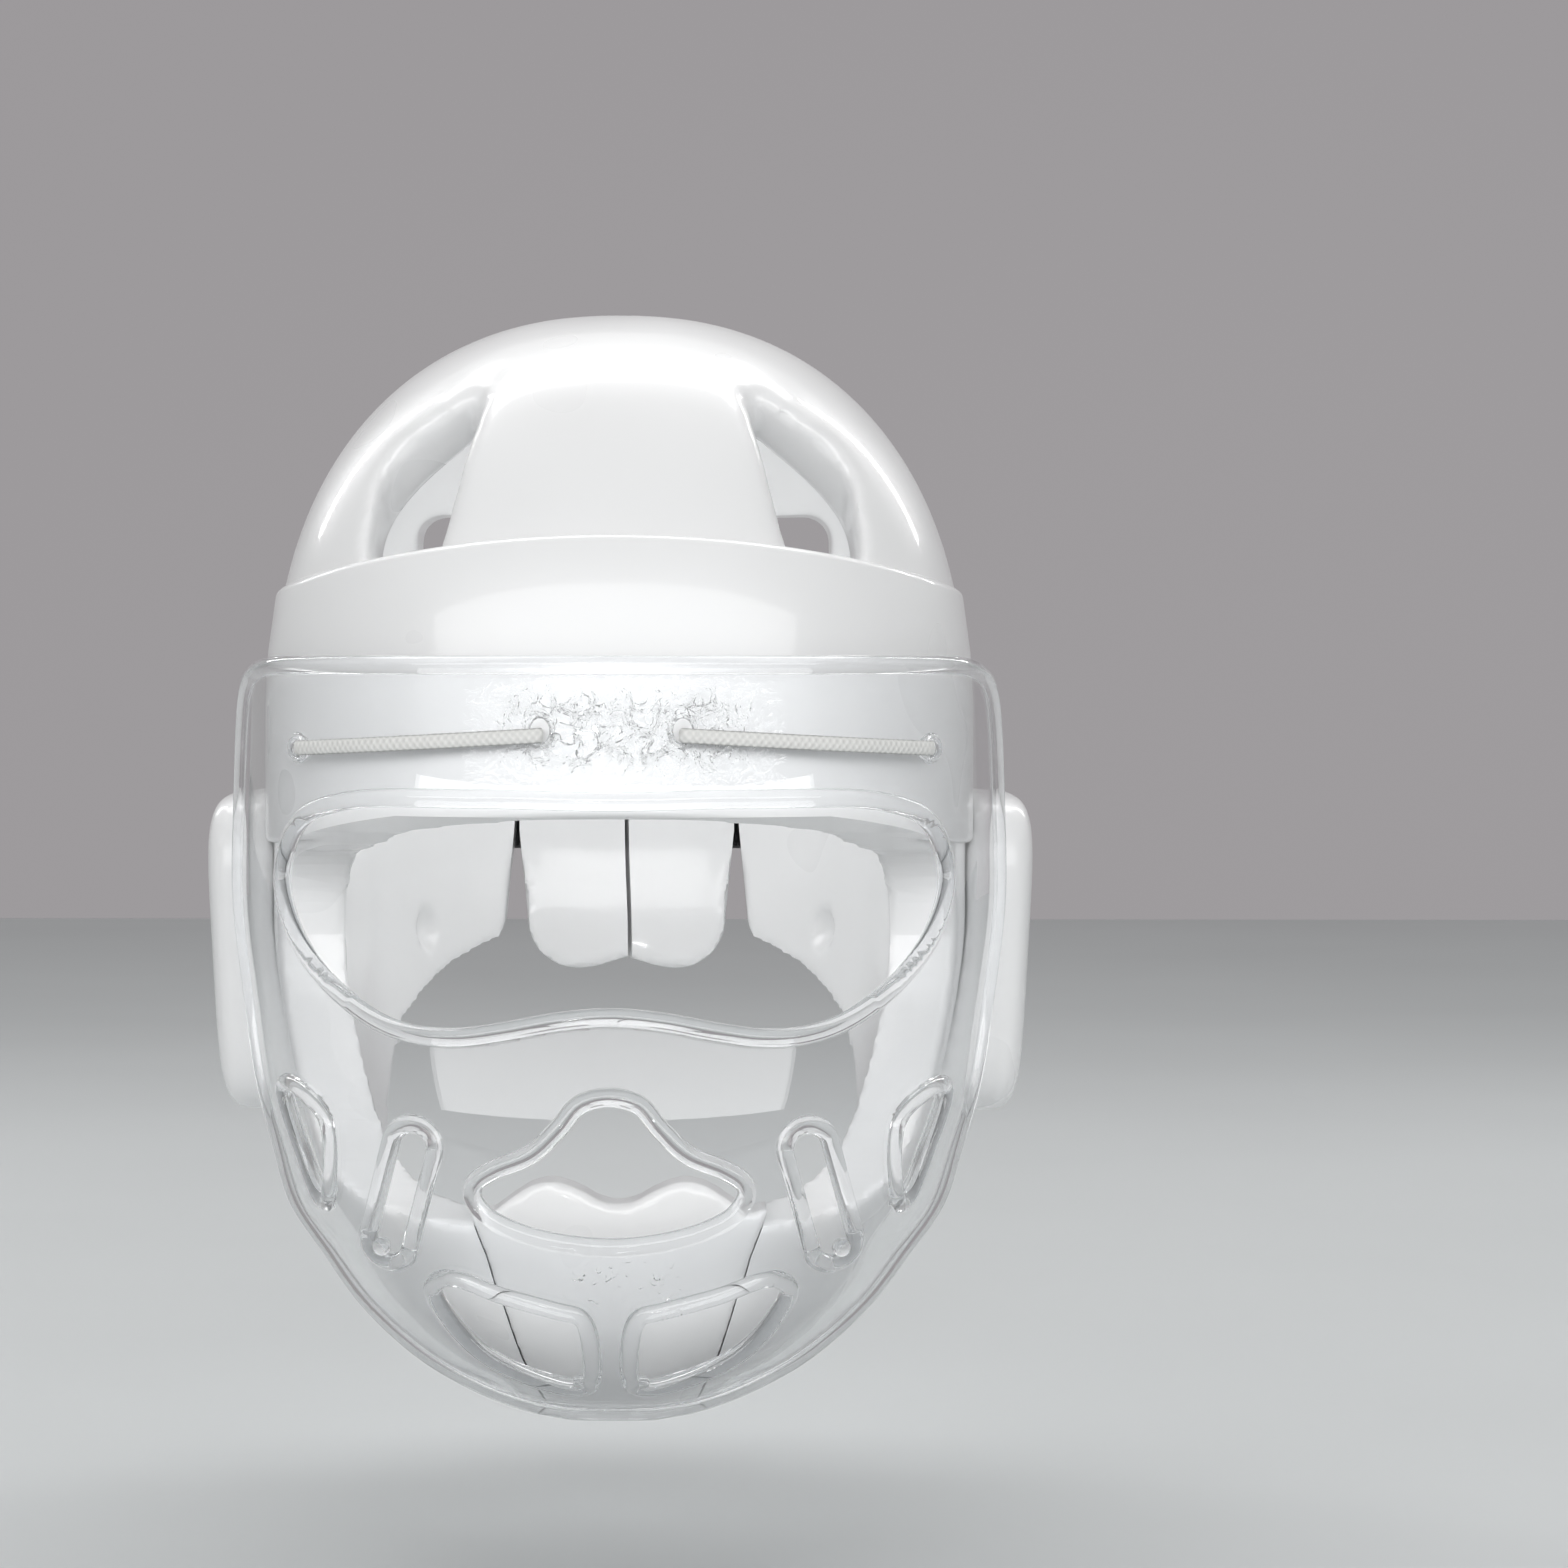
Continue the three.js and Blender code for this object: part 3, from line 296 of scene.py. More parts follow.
class TieSizes(bpy.types.PropertyGroup):
    """Sizes of the laces and the back strap."""
    lace_width: length("Lace width", "Width of the flat laces", 0.0037)
    lace_thickness: length("Lace thickness", "Thickness of the flat laces", 0.0016)
    lace_inner: length("Inner hole", "From the middle to the inner lace holes", 0.0173)
    lace_outer: length("Outer hole", "From the middle to the outer lace holes", 0.0788)
    inner_drop: length("Inner drop", "From the shield's top to the inner lace holes", 0.017)
    outer_drop: length("Outer drop", "From the shield's top to the outer lace holes", 0.0207)
    strap_width: length("Strap width", "Width of the back strap", 0.040)
    strap_thickness: length("Strap thickness", "Thickness of the back strap", 0.003)
    strap_drop: length("Strap drop", "From the widest level to the strap's upper edge", 0.001)
    strap_reach: turn("Strap reach", "Half of the strap's sweep round the back", 42)


class Finishes(bpy.types.PropertyGroup):
    """Colours and gloss of the finishes."""
    foam: colour("Foam", "Colour of the dipped skin", (0.87, 0.872, 0.875))
    foam_roughness: share_of("Foam roughness", "Roughness of the dipped skin", 0.3)
    foam_coat: share_of("Foam coat", "Gloss layer of the dipped skin", 0.45)
    clear: colour("Clear plastic", "Tint of the shield", (0.91, 0.915, 0.92))
    clear_roughness: share_of("Clear roughness", "Roughness of the shield", 0.02)
    lace: colour("Lace", "Colour of the laces", (0.82, 0.82, 0.8))
    strap: colour("Strap", "Colour of the elastic strap", (0.012, 0.012, 0.013))


class Studio(bpy.types.PropertyGroup):
    """Camera, light and floor."""
    distance: length("Distance", "From the camera to the guard's middle", 1.2)
    eye_level: length("Eye level", "Height of the camera against the inner crown", -0.075)
    azimuth: turn("Azimuth", "How far the camera stands to the right", 1.1)
    lens: bpy.props.FloatProperty(name="Lens", description="Focal length", default=102.8, unit="CAMERA")
    floor_gap: length("Floor gap", "From the foot of the guard to the floor", 0.035)
    floor: colour("Floor", "Colour of the floor", (0.58, 0.6, 0.605))
    backdrop: colour("Backdrop", "Colour of the backdrop", (0.345, 0.33, 0.34))
    surround: colour("Surround", "Colour of the light all round", (0.4, 0.4, 0.4))


class HeadGuard(bpy.types.PropertyGroup):
    """All the settings of the head guard."""
    foam: bpy.props.PointerProperty(name="Foam", description="Sizes of the foam", type=FoamSizes)
    band: bpy.props.PointerProperty(name="Brow band", description="Sizes of the band", type=BandSizes)
    openings: bpy.props.PointerProperty(name="Openings", description="Sizes of the cuts", type=OpeningSizes)
    pads: bpy.props.PointerProperty(name="Pads", description="Sizes of the pads", type=PadSizes)
    shield: bpy.props.PointerProperty(name="Shield", description="Sizes of the shield", type=ShieldSizes)
    ties: bpy.props.PointerProperty(name="Ties", description="Sizes of the laces and strap", type=TieSizes)
    finishes: bpy.props.PointerProperty(name="Finishes", description="Colours and gloss", type=Finishes)
    studio: bpy.props.PointerProperty(name="Studio", description="Camera, light and floor", type=Studio)


def widest_level(guard):
    return guard.foam.wall - guard.foam.dome


def face_top_level(guard):
    return guard.foam.wall - guard.band.top_drop - guard.band.height


def shield_top_level(guard):
    return guard.foam.wall - guard.shield.top


def shield_front(guard):
    return guard.foam.front + guard.band.proud + guard.shield.gap + guard.shield.thickness


def column(table, name, drop):
    """One column of a section table at some drops, on a smooth curve through its rows."""
    drops = np.array([row.drop for row in table])
    values = np.array([getattr(row, name) for row in table])
    rows = np.arange(len(table))
    ahead, behind = np.minimum(rows + 1, rows[-1]), np.maximum(rows - 1, 0)
    slopes = (values[ahead] - values[behind]) / (drops[ahead] - drops[behind])
    d = np.clip(drop, drops[0], drops[-1])
    row = np.clip(np.searchsorted(drops, d, side="right") - 1, 0, rows[-1] - 1)
    span = drops[row + 1] - drops[row]
    t = (d - drops[row]) / span
    ease = t * t * (3 - 2 * t)
    rise = t * (1 - t) ** 2 * slopes[row] - t * t * (1 - t) * slopes[row + 1]
    return values[row] * (1 - ease) + values[row + 1] * ease + rise * span


def foam_sizes(guard, z, grow):
    """Half width, front, back and squareness of the foam at some heights, grown outward."""
    foam = guard.foam
    z = np.asarray(z, float)
    up = np.clip((z - widest_level(guard)) / (foam.dome + grow), 0, 1)
    arc = (1 - up ** foam.dome_square) ** (1 / foam.dome_square)
    drop = np.maximum(widest_level(guard) - z, 0) / foam.jaw_drop
    sizes = []
    for size, name in ((foam.half_width, "width"), (foam.front, "front"), (foam.back, "back")):
        sizes.append((size * column(FOAM_SECTIONS, name, drop) + grow) * arc)
    return (*sizes, column(FOAM_SECTIONS, "square", drop))


def oval_points(sizes, angle, z):
    """Points of squared ellipses: angle 0 looks along -Y, a quarter turn along +X."""
    width, front, back, square = sizes
    sin, cos = np.sin(angle), np.cos(angle)
    x = width * np.sign(sin) * np.abs(sin) ** (2 / square)
    y = -np.where(cos > 0, front, back) * np.sign(cos) * np.abs(cos) ** (2 / square)
    return np.stack(np.broadcast_arrays(x, y, z), axis=-1)


def foam_points(guard, angle, z, grow):
    return oval_points(foam_sizes(guard, z, grow), angle, z)


def shield_sizes(guard, z, inward):
    """Half width and depth of the shield's outer surface at some heights, moved inward along its slope."""
    shield = guard.shield
    z = np.asarray(z, float)

    def size(name, base, height):
        return base * column(SHIELD_SECTIONS, name, (shield_top_level(guard) - height) / shield.height)

    step = 0.001
    sizes = []
    for name, base, extra in (("width", shield.half_width, 0), ("front", shield_front(guard), shield.centre)):
        slope = (size(name, base, z + step) - size(name, base, z - step)) / (2 * step)
        sizes.append(size(name, base, z) + extra - inward * np.hypot(1, slope))
    return sizes


def shield_points(guard, x, z, inward):
    width, front = shield_sizes(guard, z, inward)
    t = np.minimum(np.abs(x) / width, 0.9999)
    y = guard.shield.centre - front * (1 - t ** SHIELD_SQUARE) ** (1 / SHIELD_SQUARE)
    return np.stack(np.broadcast_arrays(x, y, z), axis=-1)


def smooth_line(points, steps, closed):
    """Evenly spaced points on a smooth curve through a few points."""
    points = np.asarray(points, float)
    if closed:
        points = np.vstack([points[-1:], points, points[:2]])
    else:
        points = np.vstack([2 * points[0] - points[1], points, 2 * points[-1] - points[-2]])
    line = []
    for p0, p1, p2, p3 in zip(points, points[1:], points[2:], points[3:]):
        k1, k2, k3 = np.cumsum([np.sqrt(np.linalg.norm(b - a)) for a, b in ((p0, p1), (p1, p2), (p2, p3))])
        t = np.linspace(k1, k2, 40, endpoint=False)[:, None]
        a1, a2, a3 = (
            p0 * (k1 - t) / k1 + p1 * t / k1,
            p1 * (k2 - t) / (k2 - k1) + p2 * (t - k1) / (k2 - k1),
            p2 * (k3 - t) / (k3 - k2) + p3 * (t - k2) / (k3 - k2),
        )
        b1 = a1 * (k2 - t) / k2 + a2 * t / k2
        b2 = a2 * (k3 - t) / (k3 - k1) + a3 * (t - k1) / (k3 - k1)
        line.append(b1 * (k2 - t) / (k2 - k1) + b2 * (t - k1) / (k2 - k1))
    line = np.vstack([*line, points[-2:-1]])
    along = np.concatenate([[0], np.cumsum(np.linalg.norm(np.diff(line, axis=0), axis=1))])
    stops = np.linspace(0, along[-1], steps, endpoint=not closed)
    return np.stack([np.interp(stops, along, line[:, i]) for i in range(line.shape[1])], axis=-1)


def unit(vectors):
    """Vectors made one long, row by row."""
    return vectors / np.linalg.norm(vectors, axis=-1, keepdims=True)


def mirrored(outline):
    return [(-u, v) for u, v in reversed(list(outline))]


def both_halves(outline):
    """A whole outline from a right half whose first and last points lie on the middle."""
    return [*outline, *mirrored(outline[1:-1])]


def pick(piece):
    """Makes one object the only selected one and the active one."""
    bpy.ops.object.select_all(action="DESELECT")
    piece.select_set(True)
    bpy.context.view_layer.objects.active = piece


def points_of(piece):
    flat = np.empty(len(piece.data.vertices) * 3)
    piece.data.vertices.foreach_get("co", flat)
    return flat.reshape(-1, 3)


def set_points(piece, points):
    piece.data.vertices.foreach_set("co", np.asarray(points, float).ravel())
    piece.data.update()


def close_up(piece):
    """Merges the seams of a mesh, fills its open ends and turns its faces outwards."""
    pick(piece)
    bpy.ops.object.mode_set(mode="EDIT")
    bpy.ops.mesh.select_all(action="SELECT")
    bpy.ops.mesh.remove_doubles(threshold=1e-7)
    bpy.ops.mesh.fill_holes(sides=0)
    bpy.ops.mesh.select_all(action="SELECT")
    bpy.ops.mesh.normals_make_consistent(inside=False)
    bpy.ops.object.mode_set(mode="OBJECT")
    return piece


def bent_grid(name, across, along, place):
    """A grid laid on a surface: place takes the shares across and along, from 0 to 1."""
    bpy.ops.object.select_all(action="DESELECT")
    bpy.ops.mesh.primitive_grid_add(x_subdivisions=across, y_subdivisions=along, size=2)
    piece = bpy.context.object
    piece.name = name
    flat = points_of(piece)
    set_points(piece, place((flat[:, 0] + 1) / 2, (flat[:, 1] + 1) / 2))
    return piece


def ball(segments, rings, radius=1):
    bpy.ops.object.select_all(action="DESELECT")
    bpy.ops.mesh.primitive_uv_sphere_add(segments=segments, ring_count=rings, radius=radius)
    return bpy.context.object


def bent_ball(name, segments, rings, place):
    """A ball laid on a surface: place takes each point's angle round Z and its height angle."""
    piece = ball(segments, rings)
    piece.name = name
    points = points_of(piece)
    angle = np.arctan2(points[:, 0], -points[:, 1])
    set_points(piece, place(angle, np.arcsin(np.clip(points[:, 2], -1, 1))))
    return close_up(piece)


def tube(name, path, flat, up, sides, closed):
    """A tube swept along a path: flat and up are its half thicknesses at each point."""
    count = len(path) if closed else len(path) - 1

    def place(across, along):
        stop = np.round(across * count).astype(int) % len(path)
        a = (np.round(along * sides).astype(int) % sides)[:, None] * 2 * math.pi / sides
        return path[stop] + flat[stop] * np.cos(a) + up[stop] * np.sin(a)

    return close_up(bent_grid(name, count, sides, place))


def prism(name, outline, right, up, near, far):
    """A flat outline extruded along right x up, from near to far."""
    bpy.ops.object.select_all(action="DESELECT")
    bpy.ops.mesh.primitive_circle_add(vertices=len(outline), fill_type="NGON")
    piece = bpy.context.object
    piece.name = name
    deep = right.cross(up)
    set_points(piece, [right * u + up * v + deep * near for u, v in outline])
    bpy.ops.object.mode_set(mode="EDIT")
    bpy.ops.mesh.select_all(action="SELECT")
    bpy.ops.mesh.extrude_region_move(TRANSFORM_OT_translate={"value": deep * (far - near)})
    bpy.ops.mesh.select_all(action="SELECT")
    bpy.ops.mesh.normals_make_consistent(inside=False)
    bpy.ops.object.mode_set(mode="OBJECT")
    return piece


def front_prism(name, outline, near, far):
    """A front view, (x, z), extruded along -Y; near and far are distances before the crown's centre."""
    return prism(name, outline, X_AXIS, Z_AXIS, near, far)


def side_prism(name, outline):
    """A side view, (y, z), extruded across the whole width."""
    return prism(name, outline, Y_AXIS, Z_AXIS, -FAR, FAR)


def combine(piece, other, operation):
    """Adds, cuts or keeps the overlap of another solid, which is used up."""
    pick(piece)
    bpy.ops.object.modifier_add(type="BOOLEAN")
    step = piece.modifiers[-1]
    step.operation, step.solver, step.object = operation, "MANIFOLD", other
    bpy.ops.object.modifier_apply(modifier=step.name)
    bpy.data.objects.remove(other)
    if not piece.data.vertices:
        raise RuntimeError(f"nothing is left of {piece.name}")
    return piece


def together(pieces):
    """Joins solids that don't touch into one object, so that one step uses them all."""
    pieces = list(pieces)
    pick(pieces[0])
    for piece in pieces:
        piece.select_set(True)
    bpy.ops.object.join()
    return pieces[0]


def cut(piece, *others):
    for other in others:
        combine(piece, other, "DIFFERENCE")
    return piece


def dip(piece, voxel, passes):
    """Rounds every edge as a dipped skin does: even steps all over, then smoothed."""
    pick(piece)
    bpy.ops.object.modifier_add(type="REMESH")
    step = piece.modifiers[-1]
    step.mode, step.voxel_size = "VOXEL", voxel
    bpy.ops.object.modifier_apply(modifier=step.name)
    bpy.ops.object.modifier_add(type="SMOOTH")
    step = piece.modifiers[-1]
    step.factor, step.iterations = 0.5, passes
    bpy.ops.object.modifier_apply(modifier=step.name)
    bpy.ops.object.shade_smooth()
    return piece


def smooth_under(piece, degrees):
    """Shades a piece smooth, apart from edges that are sharper than an angle."""
    pick(piece)
    bpy.ops.object.shade_smooth_by_angle(angle=math.radians(degrees))


def finish_piece(piece, name, material, slot, *nodes):
    """Names a piece, gives it its finish, and sets it on the frame in place of its plain nodes."""
    piece.name = piece.data.name = name
    piece.data.materials.clear()
    piece.data.materials.append(material)
    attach(piece, "root")
    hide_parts(*nodes)
    return piece


def foam_form(name, guard, grow):
    """The head's outer form, grown outward or shrunk inward."""
    foam = guard.foam
    foot = 0.92

    def place(angle, tilt):
        rise = np.maximum(np.sin(tilt), 0) ** (2 / foam.dome_square)
        t = np.maximum(-tilt / (math.pi / 2), 0)
        z = widest_level(guard) + (foam.dome + grow) * rise - foam.jaw_drop * np.minimum(t / foot, 1)
        points = foam_points(guard, angle, z, grow)
        closing = np.clip((1 - t) / (1 - foot), 0, 1)
        points[:, :2] *= closing[:, None]
        if grow < 0:
            points[:, 2] -= (1 - closing) * foam.wall
        return points

    return bent_ball(name, 192, 220, place)


def foam_walls(name, guard):
    return cut(foam_form(name, guard, 0), foam_form("hollow", guard, -guard.foam.wall))


def brow_band(name, guard, extra):
    """The raised band, its profile swept round the brow with rounded edges."""
    foam, band = guard.foam, guard.band
    reach = band.reach + extra / foam.half_width

    def place(across, along):
        angle = (2 * across - 1) * reach
        wide = np.abs(foam_points(guard, angle, widest_level(guard), 0)[:, 0])
        side = np.minimum(wide / foam.half_width, 1)
        front = np.cos(np.minimum(np.abs(angle), math.pi / 2)) ** 1.2
        fade = np.clip((reach - np.abs(angle)) / band.fade, 0, 1)
        proud = band.side_proud + (band.proud - band.side_proud) * front
        proud = proud * np.sin(fade * math.pi / 2) + extra
        root = np.full_like(proud, -foam.wall / 4)
        top = foam.wall - band.top_drop - band.top_sag * side ** 2 + extra
        low = face_top_level(guard) - band.end_sag * side ** 2 - extra
        quarter = np.linspace(0, math.pi / 2, 6)
        rises, insets = band.edge * (1 - np.sin(quarter)), band.edge * (1 - np.cos(quarter))
        lower, upper = [low + rise for rise in rises[::-1]], [top - rise for rise in rises]
        heights = np.array([low, *lower, *upper, top, low])
        stands = np.array([root, *(proud - inset for inset in (*insets[::-1], *insets)), root, root])
        row_at = along * (len(heights) - 1)
        row = np.minimum(row_at.astype(int), len(heights) - 2)
        t = row_at - row
        item = np.arange(len(along))
        z = heights[row, item] * (1 - t) + heights[row + 1, item] * t
        grow = stands[row, item] * (1 - t) + stands[row + 1, item] * t
        *sizes, square = foam_sizes(guard, z, 0)
        return oval_points((*(size + grow for size in sizes), square), angle, z)

    return close_up(bent_grid(name, 160, 15 * 4, place))


def trim_points(table, depth, top, height):
    return [(back * depth, top - drop * height) for back, drop in table]


def face_opening(guard):
    foam, openings = guard.foam, guard.openings
    brow = face_top_level(guard)
    sag = brow - guard.band.end_sag
    rim, corner = openings.face_rim, openings.face_corner
    jaw = trim_points(JAW_TRIM, foam.front, widest_level(guard), foam.jaw_drop)
    bend = [(-rim - corner * (1 - math.cos(a)), sag - corner * (1 - math.sin(a)))
            for a in np.linspace(math.pi / 2, 0, 7)]
    back = smooth_line([(-rim, sag - corner * 1.6), *jaw], 40, False)
    brow_line = [(-FAR, brow), (-foam.front + foam.wall / 2, brow), (-rim - corner * 2, (brow + sag) / 2)]
    return side_prism("face_opening", [*brow_line, *bend, *back, (-FAR, back[-1][1])])


def crown_vent(guard, side):
    """Vent beside the crown band: cut along a tilted axis, down to the brow's ledge."""
    foam, band = guard.foam, guard.band
    tilt = guard.openings.crown_tilt
    up = Vector((0, math.sin(tilt), math.cos(tilt)))
    outline = smooth_line(CROWN_VENT_OUTLINE, 64, True) * (foam.half_width, foam.dome)
    outline = outline if side > 0 else mirrored(outline)
    vent = prism("crown_vent", outline, X_AXIS, up, -0.3 * foam.dome, 2 * foam.dome)
    ledge = []
    for share in np.linspace(0, 1, 13):
        ledge.append((side * share * foam.half_width,
                      foam.wall - band.top_drop - band.top_sag * share ** 2 - guard.openings.sill_drop))
    ledge += [(side * foam.half_width, foam.wall * 2), (0, foam.wall * 2)]
    return combine(vent, front_prism("over_ledge", ledge, 0, FAR), "INTERSECT")


def rear_vent(guard, side):
    openings = guard.openings
    corner = openings.rear_width / 5
    left = openings.rear_inset if side > 0 else -openings.rear_inset - openings.rear_width
    right = left + openings.rear_width
    top = guard.foam.wall - openings.rear_top
    low = top - openings.rear_height
    outline = []
    for quarter, (x, z) in enumerate(((right - corner, top - corner), (left + corner, top - corner),
                                      (left + corner, low + corner), (right - corner, low + corner))):
        for a in np.linspace(0, math.pi / 2, 7) + quarter * math.pi / 2:
            outline.append((x + corner * math.cos(a), z + corner * math.sin(a)))
    return front_prism("rear_vent", outline, -FAR, -guard.foam.back / 3)


def lobe_slits(guard):
    """The slits that part the two neck lobes from the side panels and from each other."""
    openings = guard.openings
    lobe, corner, slit = openings.lobe_half_width, openings.lobe_corner, openings.lobe_slit
    bottom, top = widest_level(guard) - openings.lobe_drop, widest_level(guard) - openings.slit_top
    shoulder = top - 0.02
    foot = lobe - LOBE_TAPER
    outer = [
        (lobe + openings.slit_mouth, widest_level(guard) - guard.foam.jaw_drop),
        (foot + openings.slit_mouth, bottom + corner),
        (lobe + LOBE_STEP, shoulder),
        (lobe + LOBE_SPLAY, top),
    ]
    rounding = [(foot - corner + corner * math.cos(a), bottom + corner - corner * math.sin(a))
                for a in np.linspace(0, math.pi / 2, 8)]
    notch = openings.lobe_notch
    inner = [(lobe, top), (lobe, shoulder), *rounding]
    inner += [(slit / 2 + corner * u, bottom + notch * v)
              for u, v in ((0.75, 0.05), (0.5, 0.27), (0.25, 0.6))]
    right = [*outer, *inner]
    outline = [*right, (0, bottom + notch), *mirrored(right)]
    return front_prism("lobe_slits", outline, -FAR, -guard.foam.back / 2)


def middle_slit(guard):
    """The slit between the lobes, slanted so that no light shows straight through it."""
    openings, foam = guard.openings, guard.foam
    slant = openings.lobe_slant
    right = Vector((math.cos(slant), math.sin(slant), 0))
    middle = (foam.back - foam.wall) * math.sin(slant)
    top = widest_level(guard) - openings.slit_top
    low = widest_level(guard) - openings.lobe_drop - foam.wall
    slit = openings.lobe_slit / 2
    outline = [(middle + slit, top), (middle - slit, top), (middle - slit, low), (middle + slit, low)]
    return prism("middle_slit", outline, right, Z_AXIS, -FAR, -foam.back / 2)


def neck_cut(guard, spare=0.0):
    """Cuts the foam off under the neck line, but not at the lobes; spare leaves a little more foam."""
    foam = guard.foam
    trim = trim_points(NECK_TRIM[:-1], foam.front, widest_level(guard) - spare, foam.jaw_drop)
    line = smooth_line(trim[1:], 60, False)
    low = widest_level(guard) - 1.2 * foam.jaw_drop
    whole = side_prism("neck", [trim[0], *line, (line[-1][0], low), (trim[0][0], low)])
    keep = guard.openings.lobe_half_width + LOBE_STEP
    block = [(-keep, 0), (keep, 0), (keep, -FAR), (-keep, -FAR)]
    return cut(whole, front_prism("lobes", block, -FAR, -foam.back / 2))


def ear_dent(guard, side):
    openings = guard.openings
    piece = ball(32, 20)
    width = openings.dent_width
    angle = np.array([side * openings.dent_angle])
    inset = -guard.foam.wall - width + openings.dent_depth
    seat = foam_points(guard, angle, widest_level(guard) - openings.dent_drop, inset)[0]
    set_points(piece, points_of(piece) * (width, width, openings.dent_height / 2) + seat)
    return piece


def chin_outline(guard, grow, seat):
    """Front outline of the chin pad, or of the seat for it, which is open upwards."""
    pads = guard.pads
    top = widest_level(guard) - pads.chin_top
    reach = guard.foam.jaw_drop - pads.chin_top
    sides = [(pads.chin_half_width * u + grow, top - v * reach) for u, v in CHIN_SIDES]
    if seat:
        half = [(pads.chin_half_width + grow, top + 4 * pads.chin_hump), *sides]
        whole = [*half, *mirrored(half)]
    else:
        humps = [(pads.chin_half_width * u, top - pads.chin_hump * v) for u, v in CHIN_HUMPS]
        humps = [tuple(p) for p in smooth_line([*mirrored(humps[1:]), *humps], 60, False)]
        whole = [*humps, *sides, *mirrored(sides)]
    return [(u + pads.chin_shift, v) for u, v in whole]


class GUARD_OT_shell(bpy.types.Operator):
    """Builds the dipped foam shell with its brow band, vents, lobes and ear dents."""
    bl_idname = "guard.shell"
    bl_label = "Foam shell"

    def execute(self, context):
        guard = context.scene.head_guard
        shell = foam_walls("shell", guard)
        cut(shell, together(crown_vent(guard, side) for side in (-1, 1)))
        dip(shell, guard.foam.arch_voxel, guard.foam.arch_rounding)
        cut(shell, face_opening(guard), neck_cut(guard, guard.foam.spare), lobe_slits(guard))
        cut(shell, together(rear_vent(guard, side) for side in (-1, 1)),
            together(ear_dent(guard, side) for side in (-1, 1)))
        dip(shell, guard.foam.edge_voxel, guard.foam.edge_rounding)
        combine(shell, brow_band("band", guard, 0), "UNION")
        seat = chin_outline(guard, guard.foam.clearance / 3, True)
        seat = front_prism("seat", seat, guard.foam.front / 3, FAR)
        cut(shell, face_opening(guard), neck_cut(guard), lobe_slits(guard), middle_slit(guard), seat)
        smooth_under(shell, 38)
        finish_piece(shell, "foam_shell", dipped_foam(guard), "dipped_foam", "head_shell")
        return {"FINISHED"}


class GUARD_OT_ear_pads(bpy.types.Operator):
    """Builds the two rounded pads over the ears."""
    bl_idname = "guard.ear_pads"
    bl_label = "Ear pads"

    def execute(self, context):
        guard = context.scene.head_guard
        pads = guard.pads
        front = max(back for back, _ in SHIELD_TRIM) * shield_front(guard) + guard.shield.bead + pads.ear_gap
        middle = front + pads.ear_length / 2
        top = face_top_level(guard) + pads.ear_rise

        def squared(value, power):
            return np.sign(value) * np.abs(value) ** (2 / power)

        for side, name in ((-1, "ear_pad_left"), (1, "ear_pad_right")):
            def place(angle, tilt, side=side):
                out = squared(np.sin(tilt), EAR_EDGE_SQUARE)
                size = np.abs(np.cos(tilt)) ** (2 / EAR_EDGE_SQUARE)
                y = middle + squared(np.cos(angle), EAR_SQUARE) * size * pads.ear_length / 2
                z = top - pads.ear_height / 2 * (1 - squared(np.sin(angle), EAR_SQUARE) * size)
                lean = pads.ear_lean * np.maximum((top - z) / pads.ear_height, 0) * np.maximum(out, 0)
                x = side * (guard.foam.half_width + pads.ear_proud * out - lean)
                return np.stack([x, y, z], axis=-1)

            pad = bent_ball(name, 96, 64, place)
            gap = guard.foam.clearance
            cut(pad, foam_form("form", guard, gap), brow_band("band", guard, gap))
            dip(pad, pads.voxel, pads.ear_rounding)
            finish_piece(pad, "soft_" + name, dipped_foam(guard), "dipped_foam", name)
        return {"FINISHED"}


class GUARD_OT_chin_pad(bpy.types.Operator):
    """Builds the chin pad with its two humps."""
    bl_idname = "guard.chin_pad"
    bl_label = "Chin pad"

    def execute(self, context):
        guard = context.scene.head_guard
        pad = foam_walls("pad", guard)
        outline = front_prism("outline", chin_outline(guard, 0, False), guard.foam.front / 3, FAR)
        combine(pad, outline, "INTERSECT")
        cut(pad, neck_cut(guard))
        dip(pad, guard.pads.voxel, guard.pads.chin_rounding)
        finish_piece(pad, "soft_chin_pad", dipped_foam(guard), "dipped_foam", "chin_pad")
        return {"FINISHED"}


def shield_trim(guard):
    """The shield's trimmed edge in the side view, (y, z), from its top to its foot."""
    trim = trim_points(SHIELD_TRIM, shield_front(guard), shield_top_level(guard), guard.shield.height)
    return smooth_line(trim, 120, False)


